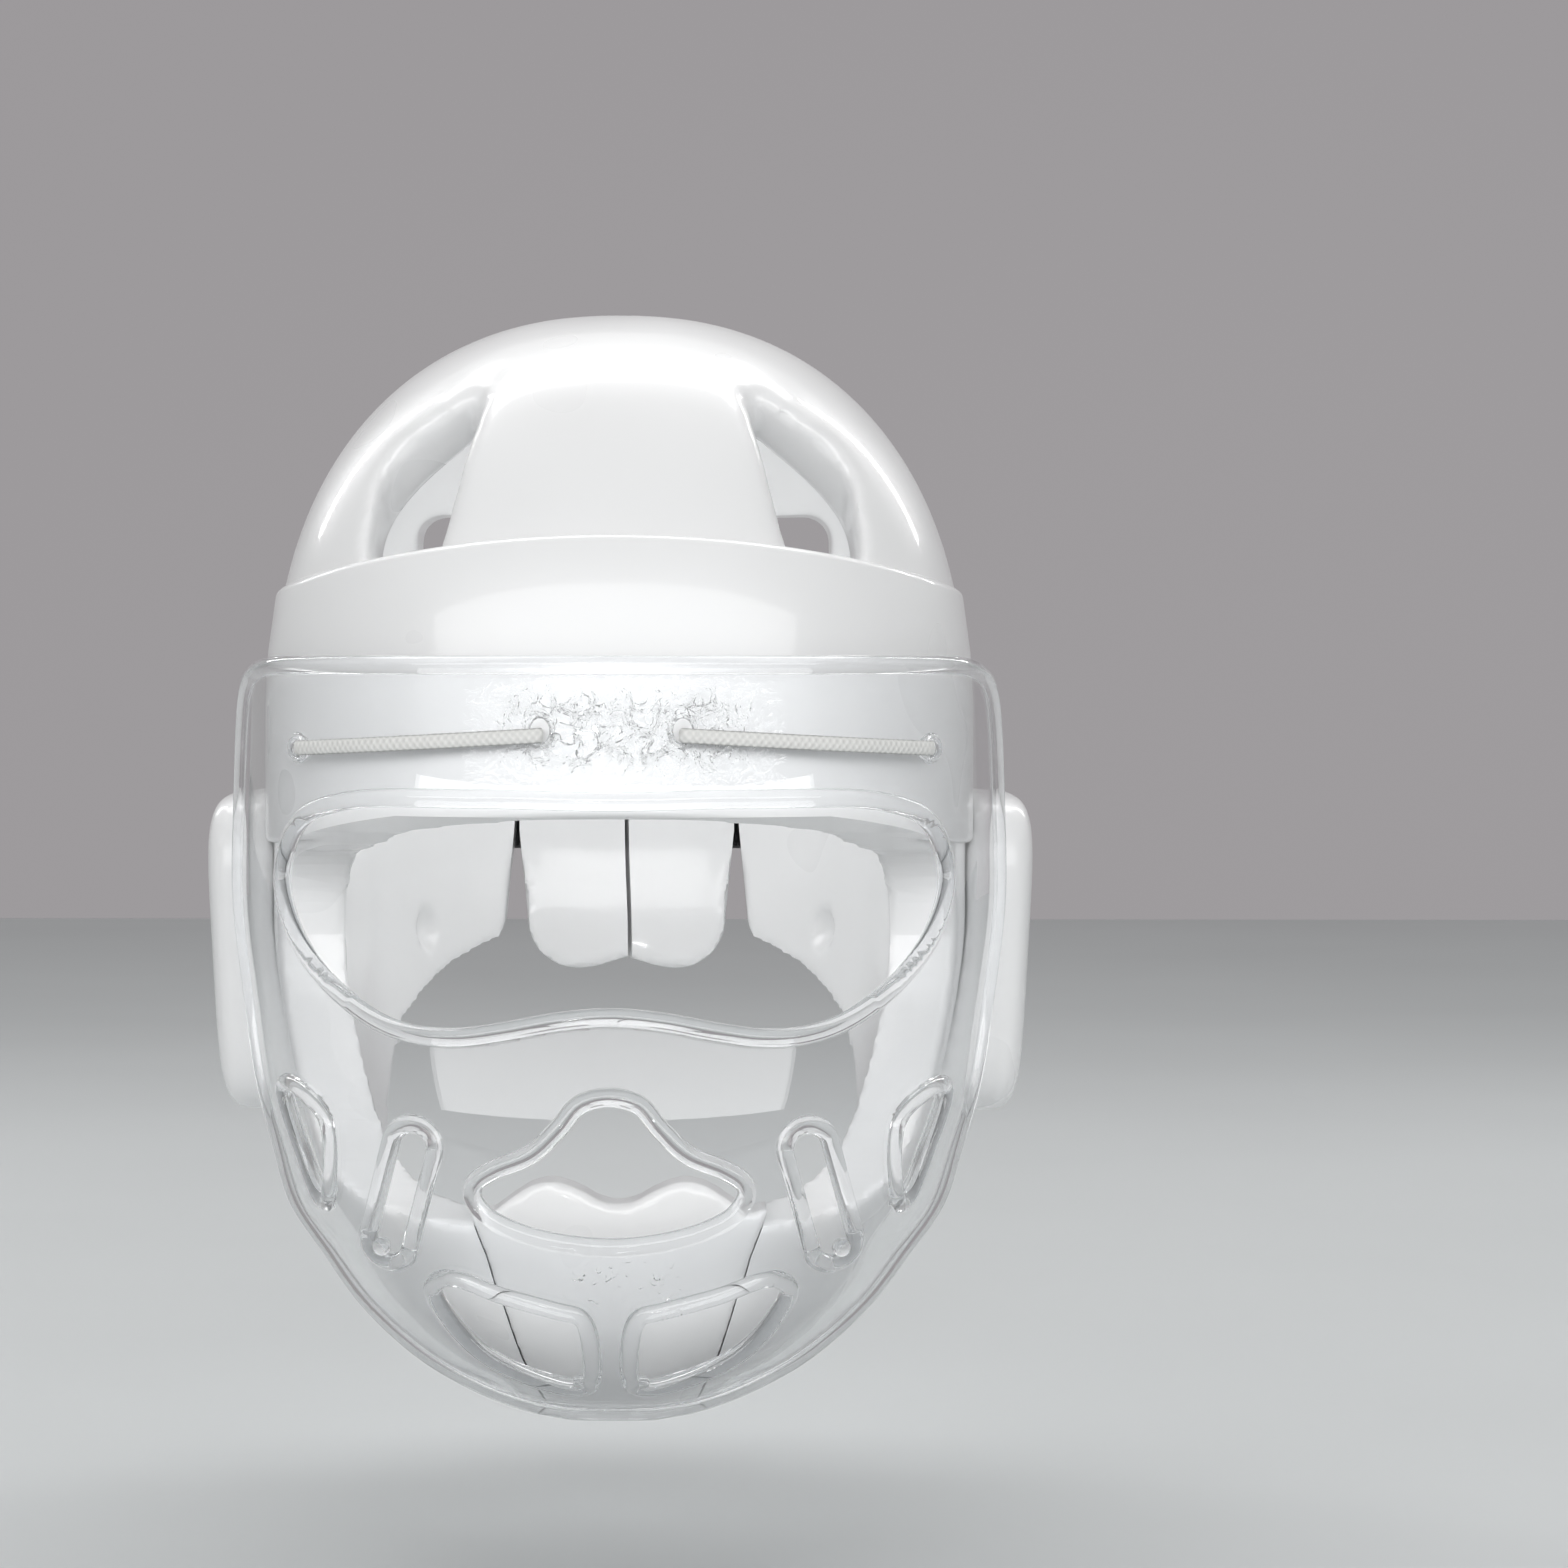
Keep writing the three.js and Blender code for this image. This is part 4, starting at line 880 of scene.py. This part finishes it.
def shield_sheet(guard):
    """The moulded sheet before it is trimmed: an outer skin with its wall."""
    shield = guard.shield
    ease = SHIELD_SQUARE / 2
    rim = 0.004

    def place(across, along, inward=0):
        u = 2 * across - 1
        w = np.abs(u)
        quarter = np.where(w < 0.5, 0.5 * (2 * w) ** ease, 1 - 0.5 * (2 * (1 - w)) ** ease)
        angle = np.sign(u) * quarter * math.pi / 2
        z = shield_top_level(guard) + rim - along * (shield.height + 2 * rim)
        width, front = shield_sizes(guard, z, inward)
        points = oval_points((width, front, 0.001, SHIELD_SQUARE), angle, z)
        points[:, 1] += shield.centre
        return points

    sheet = bent_grid("sheet", 210, 150, place)
    inner = bent_grid("inner", 210, 150, lambda across, along: place(across, along, shield.thickness))
    pick(sheet)
    inner.select_set(True)
    bpy.ops.object.join()
    bpy.ops.object.mode_set(mode="EDIT")
    bpy.ops.mesh.select_all(action="DESELECT")
    bpy.ops.mesh.select_non_manifold(extend=False, use_wire=False, use_boundary=True, use_multi_face=False,
                                     use_non_contiguous=False, use_verts=False)
    bpy.ops.mesh.bridge_edge_loops()
    bpy.ops.mesh.select_all(action="SELECT")
    bpy.ops.mesh.normals_make_consistent(inside=False)
    bpy.ops.object.mode_set(mode="OBJECT")
    return sheet


def shield_outlines(guard):
    """Front outlines of the shield's openings, (x, z)."""
    shield = guard.shield
    top = shield_top_level(guard)

    def place(table, across, width, drop, height):
        return [(across + u * width, top - drop - v * height) for u, v in table]

    eye = place(EYE_OUTLINE, 0, shield.eye_half_width, shield.eye_top, shield.eye_height)
    mouth = place(MOUTH_OUTLINE, 0, shield.mouth_half_width, shield.mouth_top, shield.mouth_height)
    outlines = [smooth_line(both_halves(eye), 240, True), smooth_line(both_halves(mouth), 150, True)]
    slot = []
    lean = shield.slot_lean
    for a in (np.arange(56) + 0.5) / 56 * 2 * math.pi:
        end = (shield.slot_length - shield.slot_width) / 2 * np.sign(math.sin(a))
        u, v = shield.slot_width / 2 * math.cos(a), end + shield.slot_width / 2 * math.sin(a)
        slot.append((shield.slot_across + u * math.cos(lean) - v * math.sin(lean),
                     top - shield.slot_down + u * math.sin(lean) + v * math.cos(lean)))
    side = place(SIDE_VENT_OUTLINE, shield.side_across, shield.side_width, shield.side_down,
                 shield.side_height)
    bottom = place(BOTTOM_VENT_OUTLINE, shield.bottom_across, shield.bottom_width, shield.bottom_down,
                   shield.bottom_height)
    for outline in (slot, smooth_line(side, 70, True), smooth_line(bottom, 90, True)):
        outlines += [np.array(outline), np.array(mirrored(outline))]
    return outlines


def sheet_cutter(name, guard, outline):
    """A cutter that goes square through the bent sheet along an outline, and straight on beyond it."""
    step, before, behind = 0.0004, 0.004, 0.006
    x, z = outline[:, 0], outline[:, 1]
    path = shield_points(guard, x, z, 0)
    out = unit(np.cross(shield_points(guard, x + step, z, 0) - shield_points(guard, x - step, z, 0),
                        shield_points(guard, x, z + step, 0) - shield_points(guard, x, z - step, 0)))
    rings = np.array([path + out * before, path + out * before, path - out * behind, path - out * behind])
    rings[0, :, 1] = -FAR
    rings[3, :, 1] = 0
    count = len(path)

    def place(across, along):
        return rings[np.round(along * 3).astype(int), np.round(across * count).astype(int) % count]

    return close_up(bent_grid(name, count, 3, place))


def bead(name, guard, path, radius):
    """A round rim swept along a closed path on the shield."""
    along = unit(np.roll(path, -1, axis=0) - np.roll(path, 1, axis=0))
    out = unit((path - (0, guard.shield.centre, 0)) * (1, 1, 0))
    out = unit(out - along * np.sum(out * along, axis=1)[:, None])
    return tube(name, path, out * radius, np.cross(along, out) * radius, 12, True)


def shield_edge(guard):
    """The line of the rim round the whole shield: its trimmed sides, its foot and its straight top."""
    shield = guard.shield
    trim = shield_trim(guard)
    width, front = shield_sizes(guard, trim[:, 1], shield.bead_sink)
    t = np.clip((shield.centre - trim[:, 0]) / front, 0, 1)
    x = width * (1 - t ** SHIELD_SQUARE) ** (1 / SHIELD_SQUARE)
    half = np.stack([x, trim[:, 0], trim[:, 1]], axis=-1)
    across = np.linspace(1, -1, 30)[1:-1]
    low = shield_points(guard, across * half[-1, 0], half[-1, 2], shield.bead_sink)
    across = np.linspace(-1, 1, 90)[1:-1]
    high = shield_points(guard, across * half[0, 0], half[0, 2], shield.bead_sink)
    return np.vstack([half, low, half[::-1] * (-1, 1, 1), high])


def knob(guard, x, drop, radius):
    """A small moulded knob on the sheet."""
    piece = ball(24, 16, radius)
    set_points(piece, points_of(piece) + shield_points(guard, x, shield_top_level(guard) - drop, 0))
    return piece


class GUARD_OT_shield(bpy.types.Operator):
    """Builds the clear shield with its openings, lace holes and round rims."""
    bl_idname = "guard.shield"
    bl_label = "Clear shield"

    def execute(self, context):
        guard = context.scene.head_guard
        shield, ties = guard.shield, guard.ties
        sheet = shield_sheet(guard)
        trim = shield_trim(guard)
        combine(sheet, side_prism("trim", [(-FAR, trim[0][1]), *trim, (-FAR, trim[-1][1])]), "INTERSECT")
        outlines = shield_outlines(guard)
        cut(sheet, together(sheet_cutter("opening", guard, outline) for outline in outlines))
        combine(sheet, bead("rim", guard, shield_edge(guard), shield.bead), "UNION")

        def on_sheet(outline):
            return shield_points(guard, outline[:, 0], outline[:, 1], shield.bead_sink)

        combine(sheet, together(bead("rim", guard, on_sheet(outline), shield.bead) for outline in outlines),
                "UNION")
        turns = np.linspace(0, 2 * math.pi, 40, endpoint=False)
        holes = []
        for side in (-1, 1):
            for x, drop, width in ((ties.lace_inner, ties.inner_drop - shield.hole_rise, shield.lace_hole),
                                   (ties.lace_outer, ties.outer_drop, shield.outer_hole)):
                z = shield_top_level(guard) - drop
                holes.append(np.stack([side * x + width / 2 * np.cos(turns),
                                       z + width * HOLE_TALL * np.sin(turns)], axis=-1))
        cut(sheet, together(sheet_cutter("hole", guard, hole) for hole in holes))
        combine(sheet, together(bead("lip", guard, on_sheet(hole), shield.hole_lip) for hole in holes),
                "UNION")
        combine(sheet, together(knob(guard, side * across, drop, radius)
                                for across, drop, radius in KNOBS for side in (-1, 1)), "UNION")
        smooth_under(sheet, 40)
        finish_piece(sheet, "clear_shield", clear_plastic(guard), "clear_shield", "face_shield")
        return {"FINISHED"}


def outward(guard, x, z):
    step = 0.0005
    span = shield_points(guard, x + step, z, 0) - shield_points(guard, x - step, z, 0)
    return unit(np.cross(span, (0, 0, 1)))


def lace_path(guard, side):
    """From the foam out through one hole, along the shield, and back through the other to the foam."""
    ties, shield = guard.ties, guard.shield
    stand = ties.lace_thickness / 2 + guard.foam.clearance
    top = shield_top_level(guard)

    def at(x, drop, out):
        return shield_points(guard, side * x, top - drop, 0) + outward(guard, side * x, top - drop) * out

    def foam_end(x, drop):
        hole = at(x, drop, 0)
        width, front, _, square = foam_sizes(guard, top - drop, guard.band.proud + guard.foam.clearance)
        y = -front * (1 - min(abs(x) / width, 1) ** square) ** (1 / square)
        return np.array([hole[0], max(y - guard.foam.clearance, hole[1] + shield.thickness), top - drop])

    ends = ((ties.lace_inner, ties.inner_drop), (ties.lace_outer, ties.outer_drop))
    points = [foam_end(*ends[0]), at(*ends[0], stand * 0.4)]
    for t in (0.08, 0.3, 0.5, 0.7, 0.92):
        x = ties.lace_inner + (ties.lace_outer - ties.lace_inner) * t
        drop = ties.inner_drop + (ties.outer_drop - ties.inner_drop) * t
        points.append(at(x, drop, stand + (ties.lace_thickness / 4 if 0.2 < t < 0.8 else 0)))
    points += [at(*ends[1], stand * 0.4), foam_end(*ends[1])]
    return smooth_line(points, 121, False)


class GUARD_OT_laces(bpy.types.Operator):
    """Builds the two flat laces that tie the shield to the brow."""
    bl_idname = "guard.laces"
    bl_label = "Laces"

    def execute(self, context):
        guard = context.scene.head_guard
        ties = guard.ties
        for side, node in ((-1, "shield_tie_left"), (1, "shield_tie_right")):
            path = lace_path(guard, side)
            along = unit(np.gradient(path, axis=0))
            flat = unit(np.cross((0, 0, 1), along))
            up = np.cross(along, flat)
            lace = tube("lace", path, flat * ties.lace_thickness / 2, up * ties.lace_width / 2, 20, False)
            bpy.ops.object.shade_smooth()
            finish_piece(lace, "braided_" + node, braided_lace(guard), "white_lace", node)
        return {"FINISHED"}


class GUARD_OT_strap(bpy.types.Operator):
    """Builds the woven elastic strap across the back of the lobes."""
    bl_idname = "guard.strap"
    bl_label = "Back strap"

    def execute(self, context):
        guard = context.scene.head_guard
        ties = guard.ties
        profile = np.array([(0.02, 0.0), (0.0, 0.25), (0.0, 0.75), (0.02, 1.0), (0.5, 1.0), (0.98, 1.0),
                            (1.0, 0.75), (1.0, 0.25), (0.98, 0.0), (0.5, 0.0), (0.02, 0.0)])

        def place(across, along):
            angle = math.pi + ties.strap_reach * (2 * across - 1)
            row = along * (len(profile) - 1)
            stops = np.arange(len(profile))
            z = (widest_level(guard) - ties.strap_drop
                 - np.interp(row, stops, profile[:, 0]) * ties.strap_width)
            grow = guard.foam.clearance * 2 + np.interp(row, stops, profile[:, 1]) * ties.strap_thickness
            *sizes, square = foam_sizes(guard, z, 0)
            return oval_points((*(size + grow for size in sizes), square), angle, z)

        strap = close_up(bent_grid("strap", 120, 40, place))
        smooth_under(strap, 50)
        finish_piece(strap, "elastic_strap", woven_elastic(guard), "black_elastic", "back_strap")
        return {"FINISHED"}


class Shader:
    """A material's nodes, added and linked in a short form."""

    def __init__(self, name):
        self.material = bpy.data.materials.new(name)
        self.material.use_nodes = True
        self.nodes = self.material.node_tree.nodes
        self.links = self.material.node_tree.links
        self.principled = self.nodes["Principled BSDF"]
        self.output = self.nodes["Material Output"]

    def add(self, kind, inputs=(), **settings):
        node = self.nodes.new("ShaderNode" + kind)
        for key, value in settings.items():
            setattr(node, key, value)
        for key, value in dict(inputs).items():
            self.set(node.inputs[key], value)
        return node

    def set(self, socket, value):
        if isinstance(value, bpy.types.NodeSocket):
            self.links.new(value, socket)
        elif isinstance(value, bpy.types.Node):
            self.links.new(value.outputs[0], socket)
        else:
            socket.default_value = value

    def surface(self, **inputs):
        for key, value in inputs.items():
            self.set(self.principled.inputs[key.replace("_", " ")], value)

    def place(self):
        return self.add("TexCoord").outputs["Object"]

    def noise(self, vector, scale, detail=2.0, roughness=0.5, distortion=0.0):
        return self.add("TexNoise", {"Vector": vector, "Scale": scale, "Detail": detail,
                                     "Roughness": roughness, "Distortion": distortion})

    def ramp(self, value, *stops):
        node = self.add("ValToRGB", {0: value})
        elements = node.color_ramp.elements
        while len(elements) < len(stops):
            elements.new(0.5)
        for element, (at, shade) in zip(elements, stops):
            element.position = at
            element.color = (*shade, 1) if hasattr(shade, "__len__") else (shade, shade, shade, 1)
        return node

    def math(self, operation, a, b=0.0):
        return self.add("Math", {0: a, 1: b}, operation=operation)

    def bump(self, height, strength, distance, normal=None):
        inputs = {"Height": height, "Strength": strength, "Distance": distance}
        if normal is not None:
            inputs["Normal"] = normal
        return self.add("Bump", inputs)

    def share(self, wave):
        """A wave from -1 to 1 as a share from 0 to 1."""
        return self.math("ADD", self.math("MULTIPLY", wave, 0.5), 0.5)

    def uneven(self, base, scale, detail, dull):
        """A colour that dulls a little in soft clouds."""
        base = tuple(base)
        clouds = self.noise(self.place(), scale, detail)
        return self.ramp(clouds.outputs[0], (0.3, tuple(c * dull for c in base)), (0.7, base))

    def zone(self, axis, middle, sharp, start, end):
        """1 near a place on one axis, falling to 0 away from it."""
        off = self.math("ABSOLUTE", self.math("ADD", axis, -middle))
        return self.ramp(self.math("MULTIPLY", off, sharp), (start, 1), (end, 0))


def dipped_foam(guard):
    """Glossy white dipped skin: soft dimples, fine orange peel, a little uneven in gloss and tone."""
    name = "dipped_foam_skin"
    if name in bpy.data.materials:
        return bpy.data.materials[name]
    finishes = guard.finishes
    shader = Shader(name)
    place = shader.place()
    waves = shader.bump(shader.noise(place, 24, 0).outputs[0], 0.25, 0.0008)
    peel = shader.bump(shader.noise(place, 300, 0).outputs[0], 0.06, 0.00005, waves)
    gloss = shader.ramp(shader.noise(place, 30, 1).outputs[0], (0.25, finishes.foam_roughness - 0.04),
                        (0.75, finishes.foam_roughness + 0.04))
    shader.surface(
        Base_Color=shader.uneven(finishes.foam, 14, 1, 0.955), Roughness=gloss,
        Coat_Weight=finishes.foam_coat, Coat_Roughness=0.07, Normal=peel, IOR=1.48,
    )
    return shader.material


def clear_plastic(guard):
    """Clear sheet that lets the lamps through, with a haze where it touches the brow and faint flow marks."""
    finishes = guard.finishes
    shader = Shader("clear_moulded_sheet")
    place = shader.place()
    axes = shader.add("SeparateXYZ", {0: place})
    across, level = axes.outputs[0], axes.outputs[2]
    middle, brow, chin = 0.003, -0.0925, -0.2235
    worms = shader.noise(place, 260, 2.5, 0.55, 1.0)
    edges = shader.ramp(worms.outputs[0], (0.4, 0), (0.5, 1), (0.6, 0))
    at_brow = shader.math("MULTIPLY", shader.zone(across, middle, 20, 0.4, 0.8),
                          shader.zone(level, brow, 50, 0.3, 0.68))
    contact = shader.math("MULTIPLY", at_brow, edges)
    flecks = shader.ramp(shader.noise(place, 420, 1).outputs[0], (0.58, 0), (0.66, 0.4))
    at_chin = shader.math("MULTIPLY", shader.zone(across, middle, 20, 0.2, 0.38),
                          shader.zone(level, chin, 50, 0.2, 0.45))
    low_marks = shader.math("MULTIPLY", at_chin, flecks)
    marks = shader.math("MAXIMUM", contact, low_marks)
    flow = shader.bump(shader.noise(place, 22, 1).outputs[0], 0.1, 0.0006)
    haze = shader.bump(marks, 0.75, 0.0005, flow)
    shader.surface(
        Base_Color=(*finishes.clear, 1), Transmission_Weight=1.0, IOR=1.5, Normal=haze,
        Roughness=shader.ramp(marks, (0.0, finishes.clear_roughness), (1.0, 0.3)),
    )
    through = shader.add("BsdfTransparent", {0: (0.95, 0.955, 0.96, 1)})
    ray = shader.add("LightPath")
    trapped = shader.math("GREATER_THAN", ray.outputs["Ray Depth"], 4.5)
    straight = shader.math("MAXIMUM", ray.outputs["Is Shadow Ray"], trapped)
    mix = shader.add("MixShader", {0: straight, 1: shader.principled.outputs[0], 2: through.outputs[0]})
    shader.set(shader.output.inputs[0], mix)
    return shader.material


def weave(shader, across, along):
    """Bump height of a plain weave with a number of threads across and along the piece's own map."""
    axes = shader.add("SeparateXYZ", {0: shader.add("TexCoord").outputs["UV"]})
    warp = shader.math("SINE", shader.math("MULTIPLY", axes.outputs[1], across * 2 * math.pi))
    weft = shader.math("SINE", shader.math("MULTIPLY", axes.outputs[0], along * 2 * math.pi))
    return shader.math("MULTIPLY", warp, weft)


def braided_lace(guard):
    name = "braided_lace"
    if name in bpy.data.materials:
        return bpy.data.materials[name]
    finishes = guard.finishes
    shader = Shader(name)
    braid = weave(shader, 4, 44)
    base = tuple(finishes.lace)
    girth = shader.add("SeparateXYZ", {0: shader.add("TexCoord").outputs["UV"]}).outputs[1]
    # Painted shade: the lace's colour darkens to about half towards its two long edges, standing in for the
    # shadow that falls along them
    rim = shader.math("ABSOLUTE", shader.math("SINE", shader.math("MULTIPLY", girth, 2 * math.pi)))
    painted_edge_shade = shader.ramp(rim, (0.8, base), (0.98, tuple(c * 0.55 for c in base)))
    thread = shader.ramp(shader.share(braid), (0.0, 0.82), (1.0, 1.0))
    shade = shader.add("Mix", {0: 1.0, 6: painted_edge_shade, 7: thread}, data_type="RGBA",
                       blend_type="MULTIPLY").outputs[2]
    fuzz = shader.bump(shader.noise(shader.place(), 2500, 2).outputs[0], 0.3, 0.00008)
    shader.surface(Base_Color=shade, Roughness=0.72, Sheen_Weight=0.25,
                   Normal=shader.bump(braid, 0.7, 0.00018, fuzz))
    return shader.material


def woven_elastic(guard):
    finishes = guard.finishes
    shader = Shader("woven_elastic")
    ribs = weave(shader, 36, 110)
    base = tuple(finishes.strap)
    shade = shader.ramp(shader.share(ribs), (0.0, base), (1.0, tuple(c * 3.2 for c in base)))
    fuzz = shader.bump(shader.noise(shader.place(), 1800, 2).outputs[0], 0.4, 0.0001)
    shader.surface(Base_Color=shade, Roughness=0.78, Sheen_Weight=0.3,
                   Normal=shader.bump(ribs, 0.8, 0.00035, fuzz))
    return shader.material


def add_light(light):
    lamp = bpy.data.lights.new(light.name, "AREA")
    lamp.shape, lamp.size, lamp.size_y = "RECTANGLE", light.width, light.height
    lamp.energy = light.power
    stand = bpy.data.objects.new(light.name, lamp)
    bpy.context.scene.collection.objects.link(stand)
    stand.location = light.place
    stand.rotation_euler = (Vector(light.target) - Vector(light.place)).to_track_quat("-Z", "Y").to_euler()


class GUARD_OT_stage(bpy.types.Operator):
    """Sets the floor, the soft lights, the surround and the camera."""
    bl_idname = "guard.stage"
    bl_label = "Stage"

    def execute(self, context):
        guard = context.scene.head_guard
        studio = guard.studio
        bpy.ops.object.select_all(action="DESELECT")
        bpy.ops.mesh.primitive_circle_add(vertices=64, radius=FLOOR_RADIUS, fill_type="NGON",
                                          location=(0, 0, CAD_BOX[0].z - studio.floor_gap))
        floor = context.object
        floor.name = "floor"
        shader = Shader("pale_floor")
        shader.surface(Base_Color=shader.uneven(studio.floor, 3, 3, 0.96), Roughness=0.6)
        floor.data.materials.append(shader.material)

        bpy.ops.mesh.primitive_plane_add(size=1, location=BACKDROP_PLACE, rotation=(math.pi / 2, 0, 0))
        backdrop = context.object
        backdrop.name = "backdrop"
        backdrop.scale = BACKDROP_SIZE
        shader = Shader("grey_backdrop")
        shader.surface(Base_Color=(0, 0, 0, 1), Roughness=1.0, Specular_IOR_Level=0.0,
                       Emission_Color=shader.uneven(studio.backdrop, 1.5, 1, 0.95), Emission_Strength=1.0)
        backdrop.data.materials.append(shader.material)

        world = bpy.data.worlds.new("surround")
        world.use_nodes = True
        background = world.node_tree.nodes["Background"]
        background.inputs[0].default_value = (*studio.surround, 1)
        background.inputs[1].default_value = 1.0
        context.scene.world = world

        for light in SOFT_LIGHTS:
            add_light(light)

        camera = bpy.data.objects.new("camera", bpy.data.cameras.new("camera"))
        context.scene.collection.objects.link(camera)
        camera.location = (studio.distance * math.sin(studio.azimuth),
                           -studio.distance * math.cos(studio.azimuth), studio.eye_level)
        camera.rotation_euler = (math.pi / 2, 0, studio.azimuth)
        camera.data.sensor_width, camera.data.lens = 36, studio.lens
        camera.data.shift_x, camera.data.shift_y = CAMERA_SHIFT
        context.scene.camera = camera
        context.scene.view_settings.view_transform = "Standard"
        return {"FINISHED"}


class GUARD_PT_sidebar(bpy.types.Panel):
    """Lists the pieces and their settings."""
    bl_idname = "GUARD_PT_sidebar"
    bl_label = "Head guard"
    bl_space_type = "VIEW_3D"
    bl_region_type = "UI"
    bl_category = "Head guard"

    def draw(self, context):
        guard = context.scene.head_guard
        for operator in OPERATORS:
            self.layout.operator(operator.bl_idname)
        for name in ("foam", "band", "openings", "pads", "shield", "ties", "finishes", "studio"):
            box = self.layout.box()
            group = getattr(guard, name)
            for setting in group.bl_rna.properties:
                if setting.identifier not in ("rna_type", "name"):
                    box.prop(group, setting.identifier)


GROUPS = (FoamSizes, BandSizes, OpeningSizes, PadSizes, ShieldSizes, TieSizes, Finishes, Studio, HeadGuard)
OPERATORS = (GUARD_OT_shell, GUARD_OT_ear_pads, GUARD_OT_chin_pad, GUARD_OT_shield, GUARD_OT_laces,
             GUARD_OT_strap, GUARD_OT_stage)


def register():
    for item in (*GROUPS, *OPERATORS, GUARD_PT_sidebar):
        bpy.utils.register_class(item)
    bpy.types.Scene.head_guard = bpy.props.PointerProperty(
        name="Head guard", description="Settings of the head guard", type=HeadGuard)


def unregister():
    del bpy.types.Scene.head_guard
    for item in reversed((*GROUPS, *OPERATORS, GUARD_PT_sidebar)):
        bpy.utils.unregister_class(item)


def main():
    register()
    bpy.ops.guard.shell()
    bpy.ops.guard.ear_pads()
    bpy.ops.guard.chin_pad()
    bpy.ops.guard.shield()
    bpy.ops.guard.laces()
    bpy.ops.guard.strap()
    bpy.ops.guard.stage()


if __name__ == "__main__":
    main()
